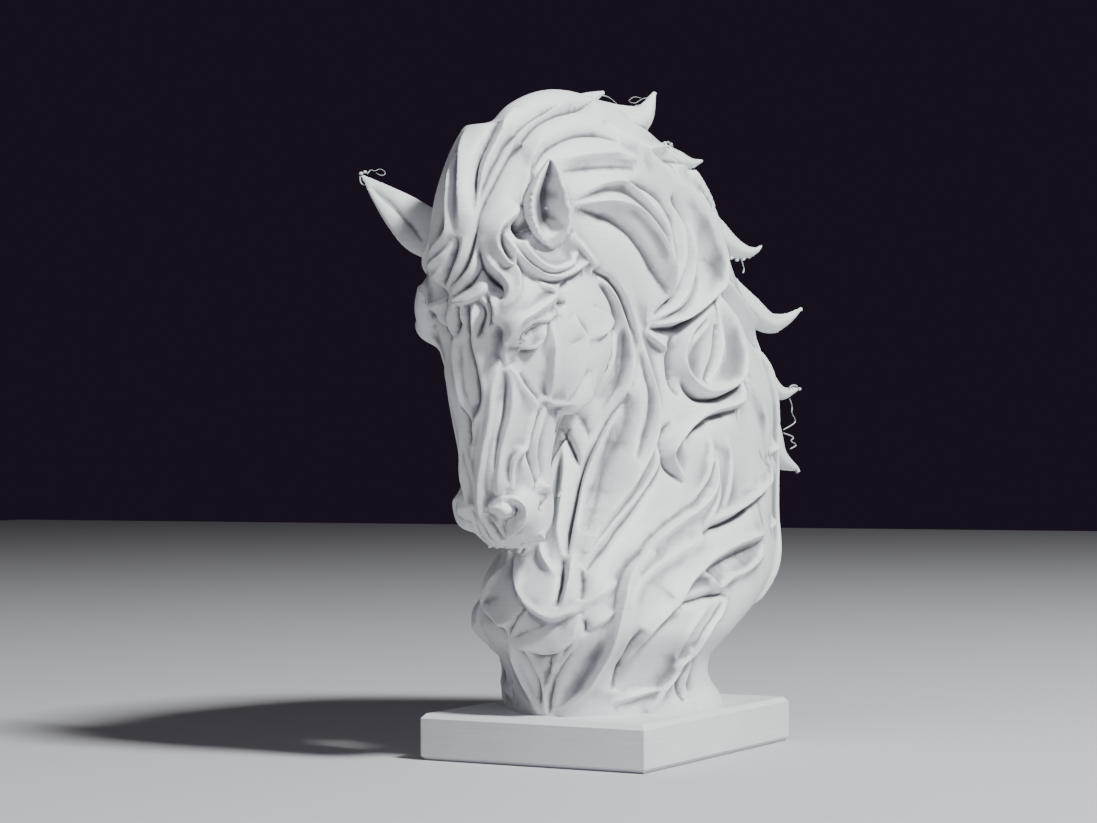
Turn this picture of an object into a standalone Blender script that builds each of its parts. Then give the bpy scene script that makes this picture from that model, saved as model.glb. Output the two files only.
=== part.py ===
"""A printed horse bust rising from its slab plinth, as one solid. Metres, +Z up.

The horse faces -Y and its left side is +X. The origin is the middle of the plinth's underside.
The figure is drawn on a grid FIGURE_GRID units tall, whose zero is the middle of the plinth's top.
"""

import math

import bpy
import numpy as np
from mathutils import Matrix, Vector
from mathutils.bvhtree import BVHTree

# Driving dimensions
BUST_HEIGHT = 0.1398
PLINTH_WIDTH = 0.056
PLINTH_DEPTH = 0.072
PLINTH_HEIGHT = 0.0102
PLINTH_CHAMFER = 0.0010
PLINTH_CORNER = 0.0005
PRINT_COLOUR = (0.80, 0.82, 0.82, 1.0)
PRINT_ROUGHNESS = 0.5

# Proportions of the figure, in grid units
FIGURE_GRID = 139.8
UNIT = BUST_HEIGHT / FIGURE_GRID
VOXEL = 0.7
LINE_STEP = 1.5
LINE_TAPER = 0.25
LINE_LEAP = 4.0
TRIANGLES = 9400
HEAD_TURN = math.radians(-6)

# The photograph's camera, in grid units, for the lines that are drawn on its picture
LENS = 2600.0
PICTURE_MIDDLE = (548.5, 411.5)
EYE_AZIMUTH = math.radians(30.0)
EYE_DISTANCE = 590.0
EYE_OFFSET = -13.5
EYE_HEIGHT = 58.0
EYE_PITCH = math.radians(-0.83)
EYE_ROLL = math.radians(0.35)

# Each section: front y, front z, back y, back z, half width, front pinch, back pinch
NECK_SECTIONS = (
    (-28, -6, 30, -6, 24.5, 0.35, 0.15),
    (-28, 1, 30, 1, 24, 0.35, 0.15),
    (-29, 6, 27, 6, 21.5, 0.30, 0.15),
    (-32, 12, 27, 11, 22.5, 0.25, 0.15),
    (-35, 19, 34, 16, 26.5, 0.15, 0.15),
    (-34.5, 27, 50, 22, 27, 0.10, 0.15),
    (-31, 34, 63, 31, 25.5, 0.10, 0.15),
    (-26, 43, 67, 43, 23.5, 0.10, 0.15),
    (-22, 54, 69, 57, 22.5, 0.10, 0.15),
    (-20, 63, 70, 73, 21.5, 0.10, 0.15),
    (-19, 71, 63, 88, 20, 0.10, 0.15),
    (-19, 76, 54, 103, 18.5, 0.10, 0.15),
    (-19, 80, 40, 118, 17.5, 0.10, 0.20),
    (-20, 83, 18, 130, 17, 0.10, 0.25),
    (-24, 86, -3, 136, 16, 0.1, 0.30),
    (-28, 88, -24, 137, 14, 0.1, 0.30),
    (-33, 92, -40, 132.5, 11, 0.1, 0.30),
    (-38, 96, -47, 127, 8, 0.1, 0.30),
)
HEAD_SECTIONS = (
    (-49, 127, -36, 129, 6, 0.3, 0.1),
    (-53, 121, -28, 122, 9.5, 0.3, 0.1),
    (-56.5, 112, -22, 112, 12, 0.25, 0.1),
    (-57.5, 103, -18, 102, 13.5, 0.2, 0.1),
    (-57, 95, -16, 94, 14.5, 0.2, 0.1),
    (-56, 87, -15.5, 85, 14.5, 0.25, 0.1),
    (-54, 79, -17, 77, 13.3, 0.3, 0.1),
    (-52.5, 72, -22, 70, 11.8, 0.3, 0.1),
    (-51, 65, -26.5, 63, 10.2, 0.3, 0.1),
    (-49.5, 58, -28.5, 57, 9.0, 0.25, 0.1),
    (-48.5, 52, -29, 51, 8.8, 0.2, 0.1),
    (-47, 46.5, -29, 46, 9.6, 0.15, 0.1),
    (-44, 41, -30.5, 40.5, 8.6, 0.15, 0.1),
    (-40, 37, -34.5, 36.5, 5.0, 0.1, 0.1),
)
# Middle and radii of each swelling of the head, on the left side
HEAD_EGGS = (
    ((9.5, -31, 84), (6.0, 16.5, 18.5)),
    ((10.6, -46, 88), (4.2, 9.5, 8.5)),
    ((6.2, -42.5, 45.5), (4.2, 5.0, 5.0)),
)
# Ears: base, tip, the way the cup faces, half width, where along it the ear is widest
EARS = (
    ((12.0, -45.5, 98.5), (13.0, -48.5, 119.3), (0.50, -0.86, 0.0), 4.5, 0.45),
    ((-15, -43, 100), (-38.3, -42, 118.5), (-0.45, 0.75, -0.5), 5.6, 0.25),
)
# Locks that stand clear of the body: pixel x, pixel y, distance to the left, half width
FREE_LOCKS = (
    ((505, 150, 2, 2.5), (520, 122, 1, 3), (550, 105, 0, 3), (580, 100, 0, 2.2), (604, 92, 0, 0.5)),
    ((545, 125, 2, 3), (585, 117, 3, 4), (620, 124, 4, 4.5), (643, 117, 4, 3), (655, 92, 4, 0.5)),
    ((615, 150, 4, 4), (650, 150, 5, 4), (680, 156, 6, 2.6), (702, 162, 6, 0.5)),
    ((640, 170, 7, 4), (675, 182, 8, 4.6), (703, 208, 10, 4.4), (728, 238, 11, 3.4), (762, 246, 13, 0.5)),
    ((700, 260, 10, 4), (728, 284, 11, 5), (752, 308, 12, 5), (775, 322, 13, 3.5), (802, 309, 15, 0.5)),
    ((742, 345, 9, 4), (764, 372, 10, 4), (782, 393, 11, 2.4), (798, 389, 12, 0.5)),
    ((745, 385, 8, 4), (764, 418, 9, 4), (778, 455, 10, 3), (799, 470, 11, 0.5)),
    ((748, 490, 8, 4), (764, 530, 9, 3), (774, 557, 9, 0.5)),
    ((728, 555, 8, 4), (732, 595, 8, 2.2), (732, 624, 8, 0.5)),
    ((690, 615, 8, 3), (700, 630, 8, 2), (711, 640, 8, 0.5)),
)
# Mane at the back, out of the photograph's sight: height, two fall-offs, then points near the skin
BACK_LINES = (
    (1.3, 1.5, 1.5, (10, 20, 128), (14, 42, 112), (15, 58, 92), (14, 66, 72), (12, 68, 54), (9, 64, 36)),
    (1.3, 1.5, 1.5, (5, 24, 128), (8, 46, 112), (9, 62, 92), (8, 70, 72), (6, 70, 52), (4, 62, 34)),
    (1.3, 1.5, 1.5, (0, 28, 127), (1, 50, 110), (2, 65, 90), (1, 71, 70), (0, 70, 50), (0, 60, 32)),
    (1.2, 1.5, 1.5, (19, 50, 84), (19, 58, 66), (18, 58, 48), (16, 50, 34), (13, 36, 22)),
    (1.2, 1.5, 1.5, (12, 62, 44), (10, 50, 30), (9, 36, 18), (12, 28, 6)),
    (1.2, 1.5, 1.5, (3, 58, 34), (2, 44, 22), (3, 32, 12), (4, 28, 2)),
)
# Carved lines: height, fall-off on the left of the way, fall-off on the right, then pixels
FORELOCK_LINES = (
    (1.8, 1.8, 1.8, (474, 130), (458, 165), (449, 205), (444, 232), (434, 258), (423, 273), (421, 286),
     (428, 299), (437, 310), (450, 336)),
    (1.5, 1.6, 1.6, (485, 125), (468, 165), (462, 205), (455, 238), (446, 261), (435, 275), (433, 286),
     (444, 295)),
    (1.5, 1.6, 1.6, (500, 118), (482, 160), (473, 200), (461, 240), (458, 261), (446, 286)),
    (1.7, 1.6, 1.6, (520, 112), (500, 150), (487, 190), (478, 237), (473, 260), (466, 275), (452, 290)),
    (1.7, 1.6, 1.6, (545, 108), (520, 150), (503, 185), (490, 225), (486, 255), (483, 272), (478, 281),
     (461, 295), (447, 306)),
    (2.6, 1.0, 2.4, (560, 112), (540, 150), (522, 190), (498, 231), (495, 243), (504, 261), (515, 280),
     (515, 296), (501, 310), (490, 324)),
    (1.2, 1.2, 1.2, (575, 120), (552, 155), (535, 190), (522, 212), (512, 225), (509, 240), (513, 262)),
    (1.2, 1.2, 1.2, (492, 286), (486, 292), (470, 300), (457, 303)),
    (1.1, 0.8, 0.8, (451, 306), (449, 318), (453, 334)),
    (1.1, 0.8, 0.8, (463, 303), (461, 319), (458, 332)),
    (1.1, 0.8, 0.8, (476, 303), (473, 320), (470, 334)),
    (1.1, 0.8, 0.8, (487, 297), (489, 312), (481, 336)),
    (1.1, 0.8, 0.8, (494, 289), (498, 307), (490, 326)),
    (-2.2, 1.4, 1.4, (486, 262), (494, 280), (500, 296), (497, 306)),
    (-1.5, 1.0, 1.0, (436, 283), (441, 292)),
)
EAR_LINES = (
    (1.7, 1.5, 0.6, (506, 237), (522, 257), (538, 272), (550, 277), (568, 270), (590, 261)),
    (1.2, 0.8, 0.8, (519, 235), (530, 257), (547, 269), (562, 267), (574, 255)),
    (0.8, 0.8, 0.8, (571, 234), (584, 249), (594, 263)),
    (-2.0, 1.3, 1.3, (506, 216), (510, 236)),
    (-2.0, 1.0, 1.0, (523, 222), (526, 236)),
)
FACE_LINES = (
    (1.6, 1.6, 1.6, (535, 280), (552, 293), (544, 306), (522, 321), (510, 335), (504, 352), (507, 362),
     (515, 365)),
    (1.2, 0.5, 1.2, (557, 312), (541, 322), (527, 332), (521, 343)),
    (-0.8, 0.9, 0.9, (523, 343), (532, 340), (541, 327)),
    (0.7, 0.7, 0.7, (519, 347), (530, 350), (538, 343), (545, 326)),
    (0.9, 2.5, 0.5, (551, 316), (553, 338), (551, 361), (548, 397)),
    (0.8, 0.6, 2.5, (570, 301), (584, 338), (581, 368), (567, 399)),
    (0.9, 0.5, 2.5, (599, 280), (611, 316), (605, 332), (590, 338), (584, 335)),
    (1.3, 0.5, 3.0, (596, 270), (611, 300), (612, 353), (600, 384), (587, 397), (559, 404), (538, 399)),
    (1.0, 2.0, 0.6, (507, 360), (516, 370), (527, 388), (536, 404), (536, 413)),
    (0.9, 1.0, 1.0, (536, 405), (532, 426), (527, 444), (516, 455), (512, 469), (513, 484)),
    (0.9, 1.0, 1.0, (547, 407), (538, 426), (530, 449), (533, 472), (542, 487)),
    (0.9, 1.5, 0.6, (513, 380), (510, 411), (504, 441), (499, 472)),
    (1.0, 1.0, 1.0, (499, 352), (492, 381), (492, 426), (486, 456), (481, 495), (483, 513), (492, 533)),
    (-1.9, 1.8, 1.8, (507, 507), (510, 511), (513, 515)),
    (1.0, 0.7, 0.7, (500, 502), (508, 494), (520, 500), (525, 512), (519, 525), (508, 528), (499, 518)),
    (-0.8, 0.6, 0.6, (551, 494), (541, 505), (530, 520)),
)
BRIDGE_LINES = (
    (1.4, 1.0, 1.0, (460, 322), (457, 342), (458, 368), (461, 399), (467, 419), (466, 450), (469, 490),
     (472, 515)),
    (1.4, 1.0, 1.0, (472, 319), (472, 342), (478, 365), (481, 399), (477, 419)),
    (-0.6, 0.8, 0.8, (466, 330), (466, 360), (470, 400)),
)
MANE_LINES = (
    (1.2, 2.0, 0.6, (545, 150), (565, 139), (585, 133), (605, 136), (622, 146)),
    (1.3, 1.5, 1.0, (552, 170), (560, 163), (585, 156), (618, 155), (640, 162)),
    (1.3, 1.8, 0.7, (563, 200), (593, 186), (620, 181), (635, 190), (653, 211), (666, 240), (672, 270),
     (668, 298)),
    (1.8, 1.2, 0.6, (566, 203), (593, 201), (616, 203), (636, 214), (653, 233), (663, 254), (668, 279),
     (669, 297)),
    (-1.4, 1.4, 1.4, (572, 207), (600, 208), (622, 216), (642, 236), (656, 262), (665, 290)),
    (1.4, 1.5, 0.8, (608, 183), (635, 186), (653, 194), (668, 208), (682, 230), (689, 262), (683, 287),
     (673, 302)),
    (1.4, 1.2, 1.2, (640, 178), (665, 190), (683, 206), (693, 238), (694, 262), (691, 287), (678, 304),
     (660, 315), (646, 321)),
    (2.2, 0.6, 2.5, (604, 122), (618, 130), (631, 148), (646, 166), (663, 181), (683, 196), (699, 218),
     (711, 241), (717, 262), (716, 284), (704, 301), (686, 314), (666, 322), (646, 326)),
    (1.4, 1.5, 1.0, (655, 166), (672, 166), (685, 175), (695, 192), (702, 214), (712, 238), (730, 252)),
    (1.0, 1.0, 1.0, (693, 173), (704, 196), (719, 223), (736, 243), (754, 251)),
    (1.0, 1.0, 1.0, (718, 262), (739, 296), (759, 312), (781, 320), (800, 309)),
    (1.2, 1.0, 1.5, (717, 279), (721, 306), (734, 337), (752, 360)),
    (1.8, 0.5, 2.0, (713, 290), (724, 318), (737, 355), (739, 378), (726, 393), (706, 394), (693, 385),
     (683, 371), (683, 355), (692, 338), (706, 322)),
    (1.0, 1.0, 1.0, (717, 322), (721, 341), (716, 363), (704, 383)),
    (0.9, 1.0, 1.0, (712, 318), (698, 338), (690, 358), (692, 376)),
    (1.8, 2.5, 0.5, (741, 376), (742, 393), (726, 406), (706, 414), (686, 423), (676, 438), (671, 449),
     (673, 464), (686, 480)),
)
NECK_LINES = (
    (1.6, 2.5, 1.2, (596, 270), (614, 286), (627, 312), (631, 338), (630, 370), (618, 403), (598, 441),
     (578, 459)),
    (1.8, 1.2, 2.5, (631, 300), (640, 355), (650, 399), (651, 419), (646, 454), (631, 487), (610, 524),
     (593, 545)),
    (1.0, 2.0, 2.0, (638, 396), (623, 438), (610, 482), (593, 532)),
    (-1.6, 1.5, 1.5, (582, 474), (570, 516), (565, 549)),
    (1.2, 1.5, 1.5, (664, 430), (659, 466), (643, 499), (618, 532), (593, 559)),
    (1.4, 1.5, 1.5, (713, 429), (711, 458), (701, 482), (676, 507), (653, 532), (640, 559)),
    (1.0, 1.5, 1.5, (714, 458), (717, 491), (708, 527), (690, 548)),
    (1.4, 1.5, 1.5, (767, 454), (766, 474), (756, 492), (734, 511), (704, 534), (672, 556), (645, 580)),
    (1.2, 1.5, 1.5, (741, 371), (756, 399), (764, 429), (767, 454)),
    (1.2, 1.5, 1.5, (729, 300), (751, 330), (767, 355), (776, 386), (777, 416)),
    (1.6, 0.7, 2.0, (759, 545), (719, 559), (692, 580), (679, 604), (649, 628), (630, 652), (614, 684)),
    (1.0, 0.5, 1.2, (762, 567), (743, 580), (719, 588), (708, 576), (693, 581)),
    (1.4, 0.7, 2.0, (724, 596), (705, 628), (684, 652), (673, 663), (671, 674), (657, 690), (649, 708)),
    (0.8, 1.0, 1.0, (679, 669), (681, 690), (687, 698)),
    (0.7, 1.0, 1.0, (612, 701), (633, 698), (662, 689)),
)
CHEST_LINES = (
    (1.8, 1.0, 2.5, (640, 559), (630, 574), (622, 599), (614, 628), (604, 652), (582, 685), (561, 714)),
    (-1.4, 1.3, 1.3, (629, 594), (624, 628), (614, 687)),
    (1.3, 1.8, 0.6, (520, 560), (523, 594), (534, 610), (558, 618), (577, 611), (590, 598), (605, 585)),
    (1.3, 1.8, 0.6, (527, 610), (515, 631), (518, 642), (545, 651), (566, 644), (577, 628), (579, 612)),
    (1.2, 1.8, 0.6, (510, 573), (490, 596), (488, 607), (502, 623), (510, 623), (526, 610)),
    (1.3, 1.2, 1.2, (503, 626), (512, 652), (529, 685), (542, 714)),
    (1.2, 1.0, 1.0, (515, 642), (534, 660), (546, 685), (547, 712)),
    (1.0, 1.0, 1.0, (566, 644), (555, 660), (549, 685), (547, 712)),
    (1.2, 1.0, 1.0, (577, 639), (561, 663), (553, 690), (550, 712)),
    (0.9, 1.5, 0.6, (585, 627), (598, 620), (620, 607)),
    (1.6, 1.2, 1.2, (566, 540), (566, 564), (561, 607)),
    (1.0, 1.0, 1.0, (542, 545), (550, 572), (561, 583)),
)


def line_of_sight(px, py):
    """The eye and the unit direction, in grid units, through a pixel of the photograph."""
    right = np.array((math.cos(EYE_AZIMUTH), math.sin(EYE_AZIMUTH), 0.0))
    ahead = np.array((-math.sin(EYE_AZIMUTH), math.cos(EYE_AZIMUTH), 0.0))
    up = np.array((0.0, 0.0, 1.0))
    across, above = (px - PICTURE_MIDDLE[0]) / LENS, (PICTURE_MIDDLE[1] - py) / LENS
    turned = across * math.cos(EYE_ROLL) + above * math.sin(EYE_ROLL)
    raised = above * math.cos(EYE_ROLL) - across * math.sin(EYE_ROLL)
    forward = ahead * math.cos(EYE_PITCH) - up * math.sin(EYE_PITCH)
    upward = up * math.cos(EYE_PITCH) + ahead * math.sin(EYE_PITCH)
    eye = right * EYE_OFFSET - ahead * EYE_DISTANCE + up * EYE_HEIGHT
    way = forward + right * turned + upward * raised
    return eye, way / np.linalg.norm(way)


def sighted(px, py, side):
    """The grid point behind a pixel of the photograph, at a distance side to the horse's left."""
    eye, way = line_of_sight(px, py)
    return eye + way * (side - eye[0]) / way[0]


def smooth_curve(points, count):
    """count points along a smooth curve through the given points, of any dimension."""
    given = np.array(points, float)
    padded = np.vstack((2 * given[0] - given[1], given, 2 * given[-1] - given[-2]))
    where = np.linspace(0, len(given) - 1 - 1e-9, count)
    start = where.astype(int)
    t = (where - start)[:, None]
    a, b, c, d = (padded[start + k] for k in range(4))
    return 0.5 * (
        2 * b + (c - a) * t + (2 * a - 5 * b + 4 * c - d) * t**2 + (3 * b - a - 3 * c + d) * t**3
    )


class Clay:
    """Closed shells that are gathered here and then made one skin."""

    def __init__(self):
        self.points = []
        self.faces = []

    def tube(self, rings):
        """Adds a closed tube through rings of equally many points, and closes its ends."""
        first = len(self.points)
        count = len(rings[0])
        for ring in rings:
            self.points.extend(map(tuple, ring))
        for r in range(len(rings) - 1):
            for k in range(count):
                a, b = first + r * count + k, first + r * count + (k + 1) % count
                self.faces.append((a, b, b + count, a + count))
        self.faces.append(tuple(first + k for k in reversed(range(count))))
        last = first + (len(rings) - 1) * count
        self.faces.append(tuple(last + k for k in range(count)))

    def egg(self, middle, radii, turn=0.0, rings=14, count=20):
        """Adds an ellipsoid, turned about Z."""
        made = []
        for r in range(1, rings):
            theta = math.pi * r / rings
            ring = []
            for k in range(count):
                phi = 2 * math.pi * k / count
                x = radii[0] * math.sin(theta) * math.cos(phi)
                y = radii[1] * math.sin(theta) * math.sin(phi)
                ring.append(
                    (
                        middle[0] + x * math.cos(turn) - y * math.sin(turn),
                        middle[1] + x * math.sin(turn) + y * math.cos(turn),
                        middle[2] - radii[2] * math.cos(theta),
                    )
                )
            made.append(ring)
        self.tube(made)


def section_rings(sections, count, around, square):
    """Rings between front and back points, pinched towards either; square below 1 is boxier."""
    rings = []
    for fy, fz, by, bz, half, pinch_front, pinch_back in smooth_curve(sections, count):
        ring = []
        for k in range(around):
            phi = 2 * math.pi * k / around
            c, s = (math.copysign(abs(v) ** square, v) for v in (math.cos(phi), math.sin(phi)))
            narrow = 1 - pinch_front * max(c, 0) ** 2 - pinch_back * max(-c, 0) ** 2
            y, z = (fy + by) / 2 + c * (fy - by) / 2, (fz + bz) / 2 + c * (fz - bz) / 2
            ring.append((half * s * narrow, y, z))
        rings.append(ring)
    return rings


def turned_head(points):
    """The points turned with the head, about the neck's upright axis."""
    x, y, z = np.array(points, float).T
    c, s = math.cos(HEAD_TURN), math.sin(HEAD_TURN)
    return np.stack((x * c - y * s, x * s + y * c, z), axis=-1)


def model_neck(clay):
    clay.tube(section_rings(NECK_SECTIONS, 70, 56, 0.9))


def model_head(clay):
    rings = section_rings(HEAD_SECTIONS, 50, 48, 0.72)
    clay.tube([turned_head(ring) for ring in rings])
    for side in (-1, 1):
        for middle, radii in HEAD_EGGS:
            centre = turned_head([(middle[0] * side, middle[1], middle[2])])[0]
            clay.egg(centre, radii, HEAD_TURN)


def unit(vector):
    """The vector, or each row of vectors, at length one."""
    vector = np.asarray(vector, float)
    return vector / np.maximum(np.linalg.norm(vector, axis=-1, keepdims=True), 1e-9)


def frames_along(points, outward):
    """Side and outward unit vectors square to a curve, at each of its points."""
    way = unit(np.gradient(points, axis=0))
    side = unit(np.cross(way, outward))
    return side, np.cross(side, way)


def strand(clay, points, outward, halves, thickness=0.75, around=14):
    """Adds a strand whose section has a peaked outer side and a round inner one."""
    side, out = frames_along(points, outward)
    rings = []
    for p, s, o, half in zip(points, side, out, halves):
        ring = []
        for k in range(around):
            phi = 2 * math.pi * k / around
            u, v = math.cos(phi), math.sin(phi)
            rise = (1 - abs(u)) ** 0.85 if v > 0 else -0.7 * abs(v)
            ring.append(p + s * half * u + o * half * thickness * rise)
        rings.append(ring)
    clay.tube(rings)


def model_ears(clay):
    for base, tip, facing, half, peak in EARS:
        base, tip, facing = np.array(base, float), np.array(tip, float), unit(facing)
        way = unit(tip - base)
        side = unit(np.cross(way, facing))
        facing = np.cross(side, way)
        rings = []
        for t in np.linspace(0, 1, 22):
            spread = math.sin(math.pi / 2 * t / peak) if t < peak else 1.0
            narrowing = math.cos(math.pi / 2 * max(0, t - peak) / (1 - peak)) ** 0.9
            width = half * (0.6 + 0.4 * spread) * narrowing + 0.3
            centre = base + (tip - base) * t
            wall = 0.9 + 0.5 * (1 - t)
            ring = []
            for k in range(13):
                u = -math.cos(math.pi * k / 12)
                ring.append(centre + side * width * u - facing * width * 0.85 * math.sqrt(1 - u * u))
            inner = max(width - wall, 0.15 * width)
            for k in range(13):
                u = math.cos(math.pi * k / 12)
                deep = inner * 0.85 * math.sqrt(1 - u * u) * min(1.0, t * 4)
                ring.append(centre + side * inner * u - facing * deep + facing * 0.3)
            rings.append(ring)
        clay.tube(rings)


class Surface:
    """The figure's skin as it stands, for the lines that are drawn on it."""

    def __init__(self, mesh):
        self.tree = BVHTree.FromPolygons(
            [v.co for v in mesh.vertices], [tuple(p.vertices) for p in mesh.polygons]
        )

    def traced(self, pixels):
        """Points and normals where the lines of sight through the pixels meet the skin."""
        found = []
        for px, py in pixels:
            eye, way = line_of_sight(px, py)
            hit, normal, _, _ = self.tree.ray_cast(Vector(eye), Vector(way))
            if hit is not None:
                found.append((hit, normal))
        return np.array([f[0] for f in found], float), np.array([f[1] for f in found], float)

    def settled(self, points):
        """The nearest points of the skin, and its normals there."""
        found = [self.tree.find_nearest(Vector(p))[:2] for p in points]
        return np.array([f[0] for f in found], float), np.array([f[1] for f in found], float)


def softened(rows, rounds):
    """The rows of a table, each moved towards its neighbours."""
    rows = rows.copy()
    for _ in range(rounds):
        rows[1:-1] = (rows[:-2] + 2 * rows[1:-1] + rows[2:]) / 4
    return rows


def other_side(points, turn):
    """The points mirrored in the upright plane that is turned about Z."""
    x, y, z = np.asarray(points, float).T
    c, s = math.cos(turn), math.sin(turn)
    across, along = -(x * c + y * s), y * c - x * s
    return np.stack((across * c - along * s, across * s + along * c, z), axis=-1)


def model_free_locks(clay):
    for lock in FREE_LOCKS:
        flow = smooth_curve(lock, 26)
        points = np.array([sighted(px, py, side) for px, py, side, _ in flow])
        outward = np.tile(unit((0.85, -0.5, 0.0)), (len(points), 1))
        strand(clay, points, outward, flow[:, 3])


def unbroken(points, outward):
    """The parts of a line between its leaps from one form to another."""
    leaps = np.flatnonzero(np.linalg.norm(np.diff(points, axis=0), axis=1) > LINE_LEAP) + 1
    parts = zip(np.split(points, leaps), np.split(outward, leaps))
    return [part for part in parts if len(part[0]) > 3]


def drawn_lines(surface):
    """Every carved line as height, two fall-offs, points, outward and left-hand vectors."""
    laid = []
    groups = (
        (FORELOCK_LINES, None), (BRIDGE_LINES, None), (CHEST_LINES, None), (EAR_LINES, HEAD_TURN),
        (FACE_LINES, HEAD_TURN), (MANE_LINES, 0.0), (NECK_LINES, 0.0),
    )
    for lines, mirror_turn in groups:
        for line in lines:
            shape, pixels = line[:3], line[3:]
            length = sum(math.dist(p, q) for p, q in zip(pixels, pixels[1:]))
            flow = smooth_curve(pixels, max(8, round(length / LINE_STEP)))
            for points, outward in unbroken(*surface.traced(flow)):
                laid.append((shape, points, outward, 1))
                if mirror_turn is not None:
                    laid.append((shape, *surface.settled(other_side(points, mirror_turn)), -1))
    for line in BACK_LINES:
        shape, flow = line[:3], smooth_curve(line[3:], 90)
        laid.append((shape, *surface.settled(flow), 1))
        laid.append((shape, *surface.settled(other_side(flow, 0.0)), -1))
    drawn = []
    for shape, points, outward, hand in laid:
        points, outward = softened(points, 3), unit(softened(outward, 12))
        leftward = unit(np.cross(outward, np.gradient(points, axis=0))) * hand
        drawn.append((*shape, points, outward, leftward))
    return drawn


def carve(mesh, lines):
    """Raises or sinks the mesh along the lines, with a sharp edge on each."""
    count = len(mesh.vertices)
    spots, normals = np.empty(count * 3), np.empty(count * 3)
    mesh.vertices.foreach_get("co", spots)
    mesh.vertices.foreach_get("normal", normals)
    spots, normals = spots.reshape(-1, 3), normals.reshape(-1, 3)
    shifts = np.zeros((count, 3))
    raised, sunk = np.zeros(count), np.zeros(count)
    for height, left, right, points, outward, leftward in lines:
        reach = 4 * max(left, right)
        low, high = points.min(axis=0) - reach, points.max(axis=0) + reach
        near = np.flatnonzero(((spots > low) & (spots < high)).all(axis=1))
        if not len(near):
            continue
        here = spots[near]
        apart = (here**2).sum(axis=1)[:, None] + (points**2).sum(axis=1) - 2 * here @ points.T
        nearest = apart.argmin(axis=1)
        gap = here - points[nearest]
        distance = np.linalg.norm(gap, axis=1)
        beside = (gap * leftward[nearest]).sum(axis=1)
        share = nearest / (len(points) - 1)
        taper = np.clip(np.minimum(share, 1 - share) / LINE_TAPER, 0, 1) ** 0.7
        facing = (normals[near] * outward[nearest]).sum(axis=1) > 0.25
        rise = abs(height) * taper * np.exp(-distance / np.where(beside > 0, left, right)) * facing
        if height > 0:
            raised[near] += rise**2
            close = (distance < 0.5 * VOXEL) & facing & (share > 0.03) & (share < 0.97)
            shifts[near[close]] = -(beside[:, None] * leftward[nearest])[close]
        else:
            sunk[near] += rise**2
    depth = np.sqrt(raised) - np.sqrt(sunk)
    spots += shifts + normals * depth[:, None]
    mesh.vertices.foreach_set("co", spots.ravel())
    mesh.update()


def skin_of(clay, voxel, smoothing):
    """One closed skin round all the shells."""
    mesh = bpy.data.meshes.new("clay")
    mesh.from_pydata(clay.points, [], clay.faces)
    body = bpy.data.objects.new("clay", mesh)
    bpy.context.collection.objects.link(body)
    remesh = body.modifiers.new("skin", "REMESH")
    remesh.mode = "VOXEL"
    remesh.voxel_size = voxel
    if smoothing:
        smooth = body.modifiers.new("soften", "SMOOTH")
        smooth.factor = 0.5
        smooth.iterations = smoothing
    graph = bpy.context.evaluated_depsgraph_get()
    skin = bpy.data.meshes.new_from_object(body.evaluated_get(graph))
    bpy.data.objects.remove(body)
    return skin


def plinth_ring(inset, corner, height):
    """Points round the slab's outline, drawn in by inset, with rounded corners."""
    ring = []
    across, along = PLINTH_WIDTH / 2 - inset - corner, PLINTH_DEPTH / 2 - inset - corner
    for k, (sx, sy) in enumerate(((1, 1), (-1, 1), (-1, -1), (1, -1))):
        for step in range(4):
            angle = math.pi / 2 * (k + step / 3)
            x, y = across * sx + corner * math.cos(angle), along * sy + corner * math.sin(angle)
            ring.append((x, y, height))
    return ring


def model_plinth():
    """The slab, with chamfered edges above and below."""
    clay = Clay()
    clay.tube(
        [
            plinth_ring(PLINTH_CHAMFER, PLINTH_CORNER / 2, 0.0),
            plinth_ring(0.0, PLINTH_CORNER, PLINTH_CHAMFER),
            plinth_ring(0.0, PLINTH_CORNER, PLINTH_HEIGHT - PLINTH_CHAMFER),
            plinth_ring(PLINTH_CHAMFER, PLINTH_CORNER / 2, PLINTH_HEIGHT),
        ]
    )
    mesh = bpy.data.meshes.new("plinth")
    mesh.from_pydata(clay.points, [], clay.faces)
    plinth = bpy.data.objects.new("plinth", mesh)
    bpy.context.collection.objects.link(plinth)
    return plinth


def print_material():
    material = bpy.data.materials.new("print")
    material.use_nodes = True
    shader = material.node_tree.nodes["Principled BSDF"]
    shader.inputs["Base Color"].default_value = PRINT_COLOUR
    shader.inputs["Roughness"].default_value = PRINT_ROUGHNESS
    return material


def reduced(mesh, triangles):
    """The mesh as about so many triangles, keeping its sharp edges longest."""
    body = bpy.data.objects.new("figure", mesh)
    bpy.context.collection.objects.link(body)
    present = sum(len(p.vertices) - 2 for p in mesh.polygons)
    fewer = body.modifiers.new("fewer", "DECIMATE")
    fewer.ratio = triangles / present
    fewer.use_collapse_triangulate = True
    graph = bpy.context.evaluated_depsgraph_get()
    result = bpy.data.meshes.new_from_object(body.evaluated_get(graph))
    bpy.data.objects.remove(body)
    return result


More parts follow.
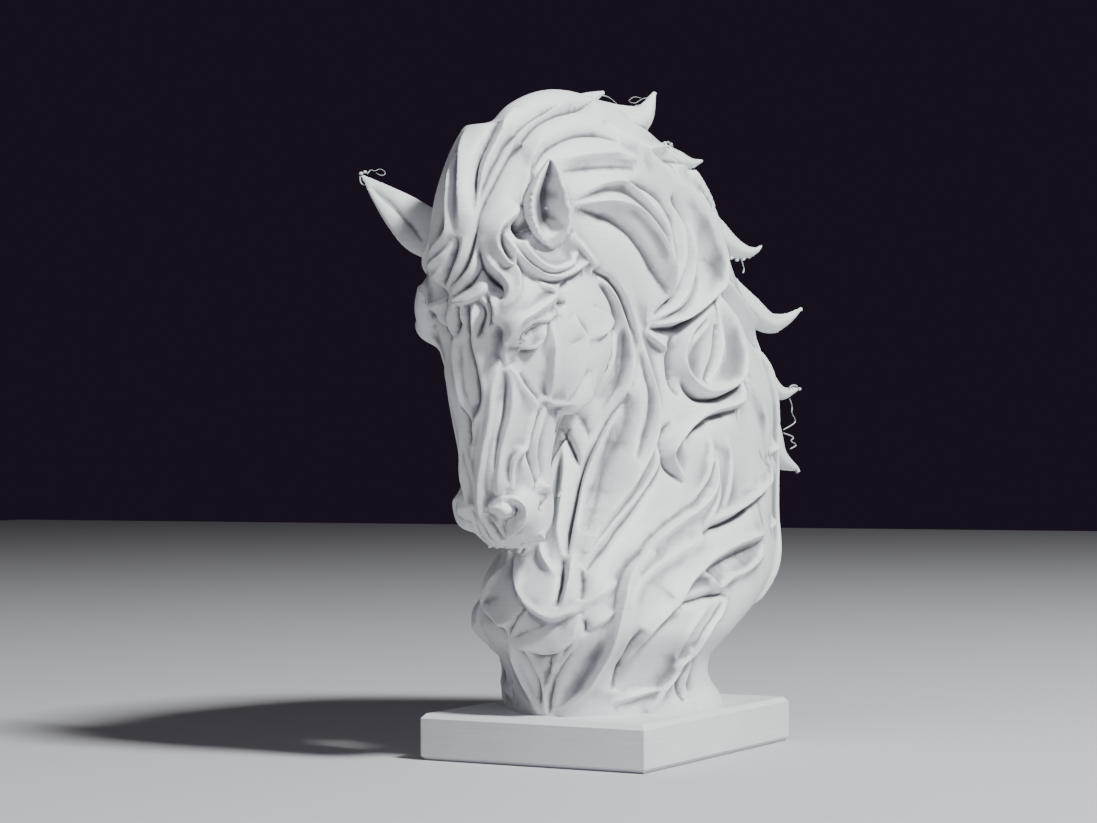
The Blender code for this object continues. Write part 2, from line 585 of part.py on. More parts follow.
def main():
    for old in list(bpy.data.objects):
        bpy.data.objects.remove(old)
    clay = Clay()
    model_neck(clay)
    model_head(clay)
    core = Clay()
    mesh = skin_of(clay, VOXEL, 12)
    core.points = [tuple(v.co) for v in mesh.vertices]
    core.faces = [tuple(p.vertices) for p in mesh.polygons]
    model_ears(core)
    model_free_locks(core)
    skin = skin_of(core, VOXEL, 2)
    carve(skin, drawn_lines(Surface(skin)))
    skin = reduced(skin, TRIANGLES)
    skin.transform(Matrix.Translation((0, 0, PLINTH_HEIGHT)) @ Matrix.Scale(UNIT, 4))
    figure = bpy.data.objects.new("figure", skin)
    bpy.context.collection.objects.link(figure)
    plinth = model_plinth()
    join = plinth.modifiers.new("join", "BOOLEAN")
    join.operation = "UNION"
    join.solver = "EXACT"
    join.object = figure
    graph = bpy.context.evaluated_depsgraph_get()
    whole = bpy.data.meshes.new_from_object(plinth.evaluated_get(graph))
    bpy.data.objects.remove(plinth)
    bpy.data.objects.remove(figure)
    bust = bpy.data.objects.new("horse_bust", whole)
    bust.data.materials.append(print_material())
    bpy.context.collection.objects.link(bust)


if __name__ == "__main__":
    main()
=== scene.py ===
"""The looks of a printed horse bust on its slab plinth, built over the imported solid. Metres, +Z up.

The horse faces -Y and its left side is +X. The figure is drawn on a grid of its own, about a
millimetre a unit, whose zero is the middle of the plinth's top. Its carved lines are strokes laid
on a smooth body: each is a few pixels of the photograph, read as lines of sight.
"""

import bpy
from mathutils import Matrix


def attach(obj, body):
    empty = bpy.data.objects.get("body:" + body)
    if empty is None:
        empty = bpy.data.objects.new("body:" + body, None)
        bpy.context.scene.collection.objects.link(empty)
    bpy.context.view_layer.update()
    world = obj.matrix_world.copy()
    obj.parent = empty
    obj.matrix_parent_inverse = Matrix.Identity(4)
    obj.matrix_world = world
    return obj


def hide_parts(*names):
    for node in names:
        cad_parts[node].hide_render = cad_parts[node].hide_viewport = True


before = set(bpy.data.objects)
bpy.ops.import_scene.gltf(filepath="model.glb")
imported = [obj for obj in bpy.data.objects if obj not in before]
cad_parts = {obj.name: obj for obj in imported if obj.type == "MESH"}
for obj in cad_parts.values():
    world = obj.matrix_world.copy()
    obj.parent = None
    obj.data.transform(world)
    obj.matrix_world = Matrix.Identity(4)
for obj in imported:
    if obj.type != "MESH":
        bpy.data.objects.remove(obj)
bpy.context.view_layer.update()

import logging
import math
from collections.abc import Iterable, Sequence
from dataclasses import dataclass, field
from enum import Enum

import bpy
import numpy as np
from mathutils import Matrix, Vector
from mathutils.bvhtree import BVHTree

LOG = logging.getLogger("horse_bust")
Point = tuple[float, ...]

# Sizes of the solid, in metres
BUST_NODE = "horse_bust"
PLINTH_WIDTH = 0.056
PLINTH_DEPTH = 0.072
PLINTH_HEIGHT = 0.0102
PLINTH_CHAMFER = 0.0010
PLINTH_CORNER = 0.0005
FIGURE_HEIGHT = 0.1398
FIGURE_GRID = 139.8
UNIT = FIGURE_HEIGHT / FIGURE_GRID
HEAD_TURN = math.radians(-6)


class Twin(Enum):
    """Where the hidden twin of a stroke lies."""

    NONE = "carved once"
    HEAD = "mirrored in the head's own turned plane"
    BODY = "mirrored in the figure's plane"

    @property
    def turn(self) -> float:
        """The angle of the mirror plane about Z."""
        return HEAD_TURN if self is Twin.HEAD else 0.0


class Stroke:
    """A carved line: its height, its fall-off on either side of its way, and its course.

    A negative height is a groove. The course is given by pixels of the photograph, width numbers a
    point. A ridge whose fall-offs differ by more than lopsided times has a crease along its steep
    side, undercut_share of its height deep.
    """

    width = 2
    undercut_share = 0.3
    lopsided = 1.9

    def __init__(self, name: str, height: float, left: float, right: float, *course: float) -> None:
        """Keeps the stroke's section and its course.

        Args:
            name: what the stroke shapes.
            height: rise above the body, in grid units.
            left: distance in which the rise falls off on the left of the way.
            right: the same on the right of the way.
            course: the coordinates of its points, one point after the other.
        """
        self.name = name
        self.height = height
        self.left = left
        self.right = right
        self.points = np.array(course, float).reshape(-1, self.width)

    def undercut(self) -> float:
        """Gives the depth of the crease along the steep side of a lopsided ridge."""
        wide, narrow = max(self.left, self.right), min(self.left, self.right)
        return self.undercut_share * self.height if self.height > 0 and wide > self.lopsided * narrow else 0.0


class BackStroke(Stroke):
    """A stroke whose course is given by grid points near the skin."""

    width = 3


@dataclass(frozen=True)
class StrokeGroup:
    """Strokes of one region.

    Args:
        strokes: the strokes.
        twin: where their hidden twins lie.
        relief: what their heights are multiplied by.
        far: the share of the relief that the twins have.
    """

    strokes: Sequence[Stroke]
    twin: Twin
    relief: float
    far: float = 1.0


# The neck, foot first: front y, front z, back y, back z, half width, front and back pinch
NECK_SECTIONS = (
    (-28, -6, 30, -6, 24.5, 0.35, 0.15),
    (-28, 1, 30, 1, 24, 0.35, 0.15),
    (-29, 6, 27, 6, 21.5, 0.30, 0.15),
    (-32, 12, 27, 11, 22.5, 0.25, 0.15),
    (-35, 19, 34, 16, 26.5, 0.15, 0.15),
    (-34.5, 27, 50, 22, 27, 0.10, 0.15),
    (-31, 34, 63, 31, 25.5, 0.10, 0.15),
    (-26, 43, 66, 43, 23, 0.10, 0.15),
    (-22, 54, 68, 57, 21.8, 0.10, 0.15),
    (-20, 63, 69, 73, 20.8, 0.10, 0.15),
    (-19, 71, 61.5, 88, 19, 0.10, 0.15),
    (-19, 76, 51.5, 103, 17.2, 0.10, 0.15),
    (-19, 80, 39.5, 118, 17.2, 0.10, 0.20),
    (-20, 83, 18, 130, 17, 0.10, 0.25),
    (-24, 86, -3, 136, 16, 0.1, 0.30),
    (-28, 88, -24, 137, 14, 0.1, 0.30),
    (-33, 92, -40, 132.5, 11, 0.1, 0.30),
    (-38, 96, -47, 127, 8, 0.1, 0.30),
)
# The head, poll first, in the same order
HEAD_SECTIONS = (
    (-49, 127, -36, 129, 6, 0.3, 0.1),
    (-53, 121, -28, 122, 9.5, 0.3, 0.1),
    (-56.5, 112, -22, 112, 12, 0.25, 0.1),
    (-57.5, 103, -18, 102, 13.5, 0.2, 0.1),
    (-57, 95, -16, 94, 14.5, 0.2, 0.1),
    (-56, 87, -15.5, 85, 14.5, 0.25, 0.1),
    (-54, 79, -17, 77, 13.3, 0.3, 0.1),
    (-52.5, 72, -22, 70, 11.8, 0.3, 0.1),
    (-51, 65, -26.5, 63, 10.2, 0.3, 0.1),
    (-49.5, 58, -28.5, 57, 9.0, 0.25, 0.1),
    (-48.5, 52, -29, 51, 8.8, 0.2, 0.1),
    (-47, 46.5, -29, 46, 9.6, 0.15, 0.1),
    (-44, 41, -30.5, 40.5, 8.6, 0.15, 0.1),
    (-40, 37, -34.5, 36.5, 5.0, 0.1, 0.1),
)
# Swellings of cheek, brow and nostril on the left: middle, then radii
HEAD_EGGS = (
    ((9.5, -31, 84), (6.0, 16.5, 18.5)),
    ((10.6, -46, 88), (4.2, 9.5, 8.5)),
    ((6.2, -42.5, 45.5), (4.2, 5.0, 5.0)),
)
# The forelock over the brow, carved once. Each row: a stroke's height, its fall-off on the left and on
# the right of its way, and the pixels of its course
FORELOCK_LINES = (
    Stroke("first lock, crest", 1.2, 1.8, 0.8,
        467, 128,  463, 145,  462, 165,  461, 185,  461, 205,  460, 222,  458, 234),
    Stroke("first lock, far edge", 1.0, 1.2, 0.8,
        456, 150,  451, 168,  449, 188,  448, 208,  449, 226,  446, 236,  438, 246,  430, 258,  424, 270),
    Stroke("first parting", -1.7, 0.9, 0.8,
        498, 122,  490, 135,  484, 145,  479, 156,  476.5, 167,  475.5, 180,  475, 192,  474, 204,
        472, 215),
    Stroke("second lock, crest", 1.0, 1.4, 0.9,
        516, 106,  506, 122,  500, 135,  493, 148,  487, 160,  482, 172,  479, 185,  477, 198,  474, 212),
    Stroke("second parting", -1.6, 0.8, 0.8,
        560, 102,  540, 113,  525, 124,  513, 136,  504, 147,  498, 158,  492, 168,  487, 179,
        482, 190,  479, 200,  476, 212),
    Stroke("third lock, crest", 0.9, 1.0, 0.8,
        572, 101,  550, 111,  533, 121,  520, 133,  509, 147,  500, 161,  493, 173,  487, 185,
        482, 197,  478, 210),
    Stroke("third parting", -2.0, 1.1, 0.8,
        592, 100,  575, 105,  560, 110,  546, 117,  535, 126,  526, 137,  517, 149,  509, 161,
        501, 174,  494, 186,  487, 198,  482, 209,  478, 220,  476, 232),
    Stroke("broad lock, upper parting", -1.3, 0.9, 0.7,
        616, 142,  601, 134,  588, 133,  575, 135,  563, 140,  553, 146,  545, 153,  538, 162,  532, 170),
    Stroke("broad lock, edge by the ear", 1.0, 0.8, 1.4,
        546, 133,  541, 140,  535, 150,  530, 160,  526, 171,  524, 183,  523, 196,  521, 206),
    Stroke("swung lock, outer edge", 2.0, 0.8, 1.6,
        521, 206,  514, 214,  507, 220,  500, 226,  496, 233,  495, 241,  497, 249,  501, 256,
        506, 263,  511, 269,  515, 277,  516, 285,  516, 293,  513, 299,  508, 304,  503, 308,  499, 314),
    Stroke("swung lock, inner edge", 1.7, 1.4, 0.6,
        479, 236,  481, 246,  484, 256,  489, 264,  495, 271,  501, 277,  505, 283,  508, 290,
        507, 297,  503, 304,  499, 311),
    Stroke("hollow by the swung lock", -2.4, 1.0, 1.0,
        482, 262,  486, 271,  491, 278,  497, 285,  500, 293,  499, 302),
    Stroke("hollow, upper end", -1.6, 0.8, 0.8,
        480, 240,  480, 252,  482, 263,  485, 273,  490, 282),
    Stroke("fourth parting", -1.7, 0.8, 0.8,
        480, 212,  478, 222,  475, 235,  471, 248,  467, 260,  462, 270,  456, 278,  450, 285,  445, 291),
    Stroke("fourth lock, crest", 0.9, 1.0, 1.0,
        477, 238,  475, 250,  472, 261,  467, 271,  461, 279,  455, 286,  449, 292),
    Stroke("fifth parting", -1.4, 0.7, 0.7,
        480, 248,  481, 262,  479, 271,  473, 280,  466, 287,  458, 293,  451, 299),
    Stroke("fifth lock, lower edge", 1.2, 0.6, 1.4,
        486, 270,  487, 279,  484, 288,  478, 295,  469, 300,  459, 303,  450, 305),
    Stroke("slit in the middle", -2.0, 0.7, 0.9,
        457, 236,  455, 247,  451, 258,  447, 268,  444, 278,  442, 287),
    Stroke("middle lock, crest", 0.6, 1.5, 1.5,
        465, 235,  462, 248,  457, 260,  452, 272,  447, 282,  443, 288),
    Stroke("far lock, outer edge", 1.3, 1.2, 0.7,
        457, 236,  450, 249,  443, 258,  434, 265,  426, 272,  421, 280,  421, 289,  425, 297,
        431, 303,  437, 309,  441, 318),
    Stroke("far lock, inner edge", 0.9, 0.7, 0.9,
        455, 245,  449, 258,  443, 268,  437, 276,  436, 281,  440, 288,  445, 292),
    Stroke("far hollow", -2.6, 0.9, 0.9,
        433, 277,  434, 285,  437, 291,  441, 296,  442, 305),
    Stroke("first fringe strand", 0.9, 0.6, 0.6,
        449, 306,  448, 318,  450, 328,  453, 338),
    Stroke("first fringe gap", -1.3, 0.5, 0.5,
        457, 303,  458, 310,  458, 318,  458, 325,  457, 338),
    Stroke("second fringe strand", 0.9, 0.6, 0.6,
        463, 302,  462, 312,  462, 324),
    Stroke("second fringe gap", -1.3, 0.5, 0.5,
        469, 303,  468, 311,  468, 319,  468, 326,  469, 340),
    Stroke("third fringe strand", 1.1, 0.7, 0.7,
        477, 302,  473, 310,  473, 320,  474, 332,  474, 342),
    Stroke("third fringe gap", -1.4, 0.5, 0.5,
        479, 303,  484, 308,  486, 315,  484, 323,  480, 331,  476, 338),
    Stroke("fourth fringe strand", 1.1, 0.5, 0.6,
        476, 299,  483, 299,  488, 305,  489, 313,  487, 323,  483, 333),
    Stroke("fourth fringe gap", -1.2, 0.5, 0.5,
        483, 297,  489, 303,  492, 311,  491, 320,  488, 328),
    Stroke("fifth fringe strand", 1.1, 0.5, 0.6,
        487, 291,  493, 297,  497, 305,  498, 314,  495, 325),
    Stroke("fringe strand in the dark", -1.1, 0.5, 0.5,
        446, 304,  445, 314,  447, 324,  451, 334),
    Stroke("far brow fold", -1.2, 0.6, 0.6,
        429, 308,  437, 319,  444, 328,  450, 335,  455, 341),
    Stroke("far fringe gap", -1.0, 0.5, 0.5,
        443, 296,  444, 306,  445, 316,  447, 326),
    Stroke("far fringe strand", 0.8, 0.6, 0.6,
        439, 311,  442, 321,  446, 330),
)
# The fold along the far ear's lower rim, carved once
FAR_EAR_LINES = (
    Stroke("far ear, fold", -1.0, 0.8, 0.6,
        370, 184,  380, 194,  390, 203,  400, 213,  410, 224,  418, 235,  424, 243),
)
# The strip down the middle of the nose, carved once
BRIDGE_LINES = (
    Stroke("strip, far edge", 1.3, 1.0, 1.0,
        460, 322,  457, 333,  456, 345,  457, 360,  459, 375,  461, 390,  464, 403,  468, 413,
        472, 422,  473, 434),
    Stroke("strip, middle", 0.6, 0.6, 0.6,
        464, 345,  466, 362,  468, 380,  471, 396,  474, 408),
    Stroke("strip, near parting", -1.5, 0.6, 0.6,
        469, 322,  469, 335,  470, 346,  474, 360,  477, 374,  479, 388,  480, 400,  478, 411,  474, 420),
    Stroke("strip, near edge", 1.3, 1.2, 0.6,
        473, 322,  472, 336,  473, 348,  477, 361,  480, 375,  483, 388,  483, 402,  480, 413,
        476, 423,  474, 435,  474, 448,  474, 462),
    Stroke("fork under the strip", -1.5, 0.7, 0.7,
        461, 402,  466, 414,  469, 423,  471, 433,  473, 446),
    Stroke("ridge under the fork", 1.0, 1.0, 0.7,
        459, 418,  462, 437,  463, 455,  464, 472,  466, 490,  468, 512),
    Stroke("muzzle, far fold", 0.5, 0.6, 0.6,
        470, 505,  473, 520,  478, 532,  486, 543),
    Stroke("muzzle, near fold", 0.5, 0.6, 0.6,
        477, 513,  483, 529,  491, 540,  497, 547),
)
# The folds of the chest, carved once
CHEST_LINES = (
    Stroke("shoulder fold, edge", 2.1, 2.8, 0.7,
        655, 550,  641, 560,  630, 572,  624, 589,  621, 604,  616, 625,  610, 641,  603, 655,
        595, 670,  583, 690,  570, 705,  558, 716),
    Stroke("shoulder fold, hollow", -1.3, 0.6, 1.2,
        650, 541,  640, 552,  630, 562,  622, 575,  618, 589,  615, 606,  610, 624),
    Stroke("bib, edge", 1.5, 1.8, 0.6,
        518, 552,  519, 565,  519, 580,  521, 592,  526, 601,  532, 608,  540, 613,  549, 617,
        558, 617,  566, 614,  574, 611,  582, 606),
    Stroke("bib, near seam", 0.7, 0.9, 0.5,
        574, 610,  592, 600,  604, 593,  615, 584,  624, 574),
    Stroke("apron, edge", 1.5, 1.9, 0.6,
        528, 607,  522, 616,  516, 625,  513, 633,  514, 639,  519, 643,  527, 646,  536, 649,
        545, 651,  553, 650,  562, 646,  569, 641,  574, 634,  577, 625,  580, 612),
    Stroke("apron, far hollow", -1.4, 0.6, 0.6,
        527, 607,  520, 615,  514, 624,  510, 634,  513, 644,  519, 652,  526, 660,  532, 668,
        537, 678,  540, 690,  541, 704),
    Stroke("apron, hollow below", -1.6, 1.0, 1.2,
        528, 650,  540, 657,  550, 658,  560, 652),
    Stroke("apron, point below", -1.4, 0.9, 0.9,
        548, 655,  550, 668,  548, 684),
    Stroke("far pad, edge", 1.4, 1.8, 0.6,
        511, 548,  508, 561,  503, 573,  496, 583,  490, 594,  487, 604,  488, 611,  493, 618,
        501, 624,  510, 623,  518, 619,  526, 611),
    Stroke("far pad, hollow", -1.2, 0.6, 0.8,
        498, 573,  489, 586,  484, 600,  486, 612,  494, 621,  501, 629,  507, 639,  513, 650),
    Stroke("far stem, crest", 1.3, 0.8, 1.4,
        503, 626,  509, 640,  514, 652,  519, 664,  525, 677,  531, 691,  536, 704,  540, 715),
    Stroke("thin stem, crest", 1.0, 0.5, 0.6,
        517, 643,  525, 651,  532, 659,  538, 669,  543, 680,  545, 693,  546, 715),
    Stroke("near stem, crest", 1.0, 0.6, 0.6,
        569, 642,  562, 652,  556, 661,  551, 672,  549, 684,  547, 698,  546, 712),
    Stroke("near stem, parting", -1.3, 0.5, 0.5,
        574, 649,  566, 660,  560, 670,  555, 682,  551, 696,  548, 714),
    Stroke("near stem, edge", 1.0, 0.9, 0.5,
        583, 618,  580, 632,  574, 643,  568, 653,  562, 664,  557, 677,  553, 691,  550, 706),
    Stroke("throat strand, crest", 1.4, 0.9, 0.7,
        573, 552,  571, 566,  569, 580,  566, 592,  562, 604,  559, 610),
    Stroke("throat strand, hollow", -1.5, 0.8, 0.6,
        563, 556,  562, 570,  561, 584,  558, 598,  556, 608),
    Stroke("far throat strand", 1.1, 0.6, 0.6,
        540, 530,  541, 545,  544, 557,  549, 567,  555, 575),
    Stroke("bib, far column", 0.9, 1.0, 1.0,
        519, 546,  518, 560,  518, 575,  520, 590),
    Stroke("notch by the strand", -1.3, 0.8, 0.8,
        581, 568,  583, 577,  583, 588,  581, 601),
    Stroke("notch below", -0.9, 0.6, 0.6,
        583, 618,  586, 627,  583, 636),
    Stroke("near pad, lower edge", 0.8, 1.2, 0.5,
        586, 629,  598, 624,  607, 618,  615, 610,  620, 600),
)
# The folds below the ear, on both sides of the head
EAR_LINES = (
    Stroke("collar, outer edge", 1.7, 1.0, 0.6,
        504, 230,  510, 244,  518, 256,  527, 266,  538, 273,  550, 277,  562, 276,  572, 271,
        581, 265,  590, 260),
    Stroke("collar, hollow below", -1.1, 0.9, 0.9,
        517, 267,  529, 275,  543, 281,  556, 281,  570, 277,  582, 270),
    Stroke("collar, parting", -1.1, 0.6, 0.6,
        514, 238,  521, 251,  530, 262,  541, 271,  552, 274,  563, 272,  573, 265),
    Stroke("collar, inner edge", 1.2, 0.7, 0.6,
        520, 232,  525, 246,  532, 257,  542, 266,  553, 270,  563, 268,  570, 263,  573, 257,  578, 252),
    Stroke("fold behind the ear", 0.9, 0.8, 0.7,
        571, 233,  578, 243,  585, 252,  592, 261,  598, 268),
    Stroke("pit before the ear", -3.0, 1.2, 1.2,
        514, 220,  518, 225,  522, 231,  527, 239),
    Stroke("gap by the swung lock", -1.4, 0.6, 0.6,
        502, 230,  504, 242,  508, 254,  511, 264),
    Stroke("strand by the swung lock", 0.9, 0.5, 0.5,
        510, 240,  513, 252,  515, 264,  516, 272),
)
# Brow, eye, cheek, nostril and mouth, on both sides of the head
FACE_LINES = (
    Stroke("brow, outer edge", 1.4, 1.2, 0.6,
        528, 270,  536, 277,  544, 284,  552, 293,  548, 299,  539, 306,  529, 313,  519, 319,
        512, 328,  507, 339,  504, 351,  505, 359,  509, 364),
    Stroke("brow, inner edge", 1.2, 0.6, 0.8,
        556, 312,  547, 318,  538, 322,  530, 327,  524, 334,  520, 342),
    Stroke("upper lid, crease", -1.5, 0.5, 0.8,
        545, 320,  536, 324,  529, 330,  523, 337,  520, 345),
    Stroke("eye, shaded hollow", -1.0, 0.9, 0.9,
        541, 325,  534, 331,  528, 337,  523, 343),
    Stroke("lower lid", 1.5, 0.6, 0.6,
        546, 321,  541, 332,  537, 340,  531, 345,  524, 347,  519, 346),
    Stroke("fold under the lid", -0.7, 0.5, 0.5,
        518, 351,  525, 351,  531, 349,  536, 345),
    Stroke("temple fold", -0.8, 0.5, 0.5,
        560, 290,  564, 285,  570, 282),
    Stroke("temple mark", -1.0, 0.5, 0.5,
        555, 301,  561, 304,  567, 302),
    Stroke("fore cheek, edge", 1.4, 2.2, 0.6,
        550, 318,  551, 332,  551, 346,  551, 361,  550, 376,  549, 390,  548, 399),
    Stroke("mid cheek, edge", 1.3, 0.5, 2.5,
        573, 314,  578, 326,  583, 335,  584, 346,  582, 360,  579, 373,  574, 385,  568, 394,  561, 401),
    Stroke("lobe, edge", 0.9, 0.5, 2.5,
        600, 286,  606, 298,  610, 312,  609, 324,  604, 332,  597, 336,  590, 338,  583, 336),
    Stroke("lobe, crease", -1.5, 0.8, 0.8,
        598, 282,  606, 291,  610, 300,  612, 312,  613, 325,  613, 340),
    Stroke("jaw, edge", 1.4, 0.6, 3.0,
        614, 330,  613, 350,  610, 367,  605, 380,  598, 390,  590, 397,  579, 401,  573, 406,
        566, 410,  556, 413),
    Stroke("jaw, lower edge", 0.9, 0.6, 1.0,
        580, 401,  564, 402,  551, 402,  546, 399,  536, 399),
    Stroke("cheek, front edge", 1.0, 0.6, 0.8,
        507, 365,  515, 374,  522, 385,  530, 395,  535, 403,  536, 412),
    Stroke("cheek, front crease", -0.9, 0.6, 0.6,
        518, 372,  527, 385,  534, 394,  540, 401),
    Stroke("nose, near ridge", 1.4, 0.9, 1.2,
        500, 358,  496, 374,  492, 392,  491, 410,  489, 428,  486, 445,  484, 462,  482, 480,
        482, 496,  483, 509,  487, 520,  492, 529,  498, 538,  505, 546),
    Stroke("nose, fine ridge", 0.7, 0.8, 0.8,
        504, 393,  500, 415,  496, 435,  493, 455,  491, 475,  490, 494),
    Stroke("nose, soft ridge", 0.7, 1.0, 1.0,
        485, 395,  484, 412,  482, 430,  480, 448,  478, 466,  476, 485),
    Stroke("nose, side ridge", 1.3, 1.4, 0.8,
        506, 365,  510, 378,  511, 392,  510, 408,  507, 423,  503, 438,  500, 453,  499, 468,
        498, 483,  497, 497),
    Stroke("nose, side hollow", -0.9, 0.8, 0.8,
        504, 370,  506, 388,  505, 402,  503, 416,  499, 432,  496, 450,  495, 470),
    Stroke("vein, edge", 1.1, 0.6, 0.8,
        536, 410,  533, 424,  530, 436,  526, 447,  519, 453,  514, 460,  512, 470,  512, 480,  514, 490),
    Stroke("vein, hollow", -0.8, 0.6, 0.6,
        518, 450,  511, 458,  508, 470,  509, 484),
    Stroke("vein, branch", 0.7, 0.6, 0.6,
        523, 453,  526, 464,  530, 475,  535, 486),
    Stroke("lip line, parting", -1.1, 0.5, 0.5,
        541, 407,  537, 420,  533, 431,  530, 442,  529, 454,  531, 466,  534, 477,  539, 489),
    Stroke("lip line, crest", 1.0, 0.6, 0.6,
        545, 407,  541, 419,  537, 430,  534, 442,  533, 455,  535, 467,  538, 479),
    Stroke("mouth, corner", 1.7, 1.0, 0.8,
        536, 482,  541, 487,  545, 492,  546, 497,  543, 503,  541, 510),
    Stroke("mouth, slit", -1.6, 0.5, 0.5,
        548, 494,  545, 499,  542, 505,  540, 512),
    Stroke("nostril, opening", -2.9, 1.5, 1.5,
        505, 506,  512, 505,  517, 509,  519, 515,  516, 520,  511, 523,  505, 524,  500, 520),
    Stroke("nostril, rim", 1.3, 0.6, 0.9,
        492, 503,  500, 501,  508, 499,  516, 500,  523, 505,  526, 512,  525, 520,  520, 527,
        513, 531,  507, 534,  499, 528,  495, 520),
    Stroke("nostril, flap", 1.6, 0.9, 0.9,
        486, 507,  493, 507,  500, 508,  506, 509,  511, 510),
    Stroke("nostril, fold below", -0.9, 0.7, 0.7,
        487, 513,  491, 522,  497, 531,  503, 540),
)
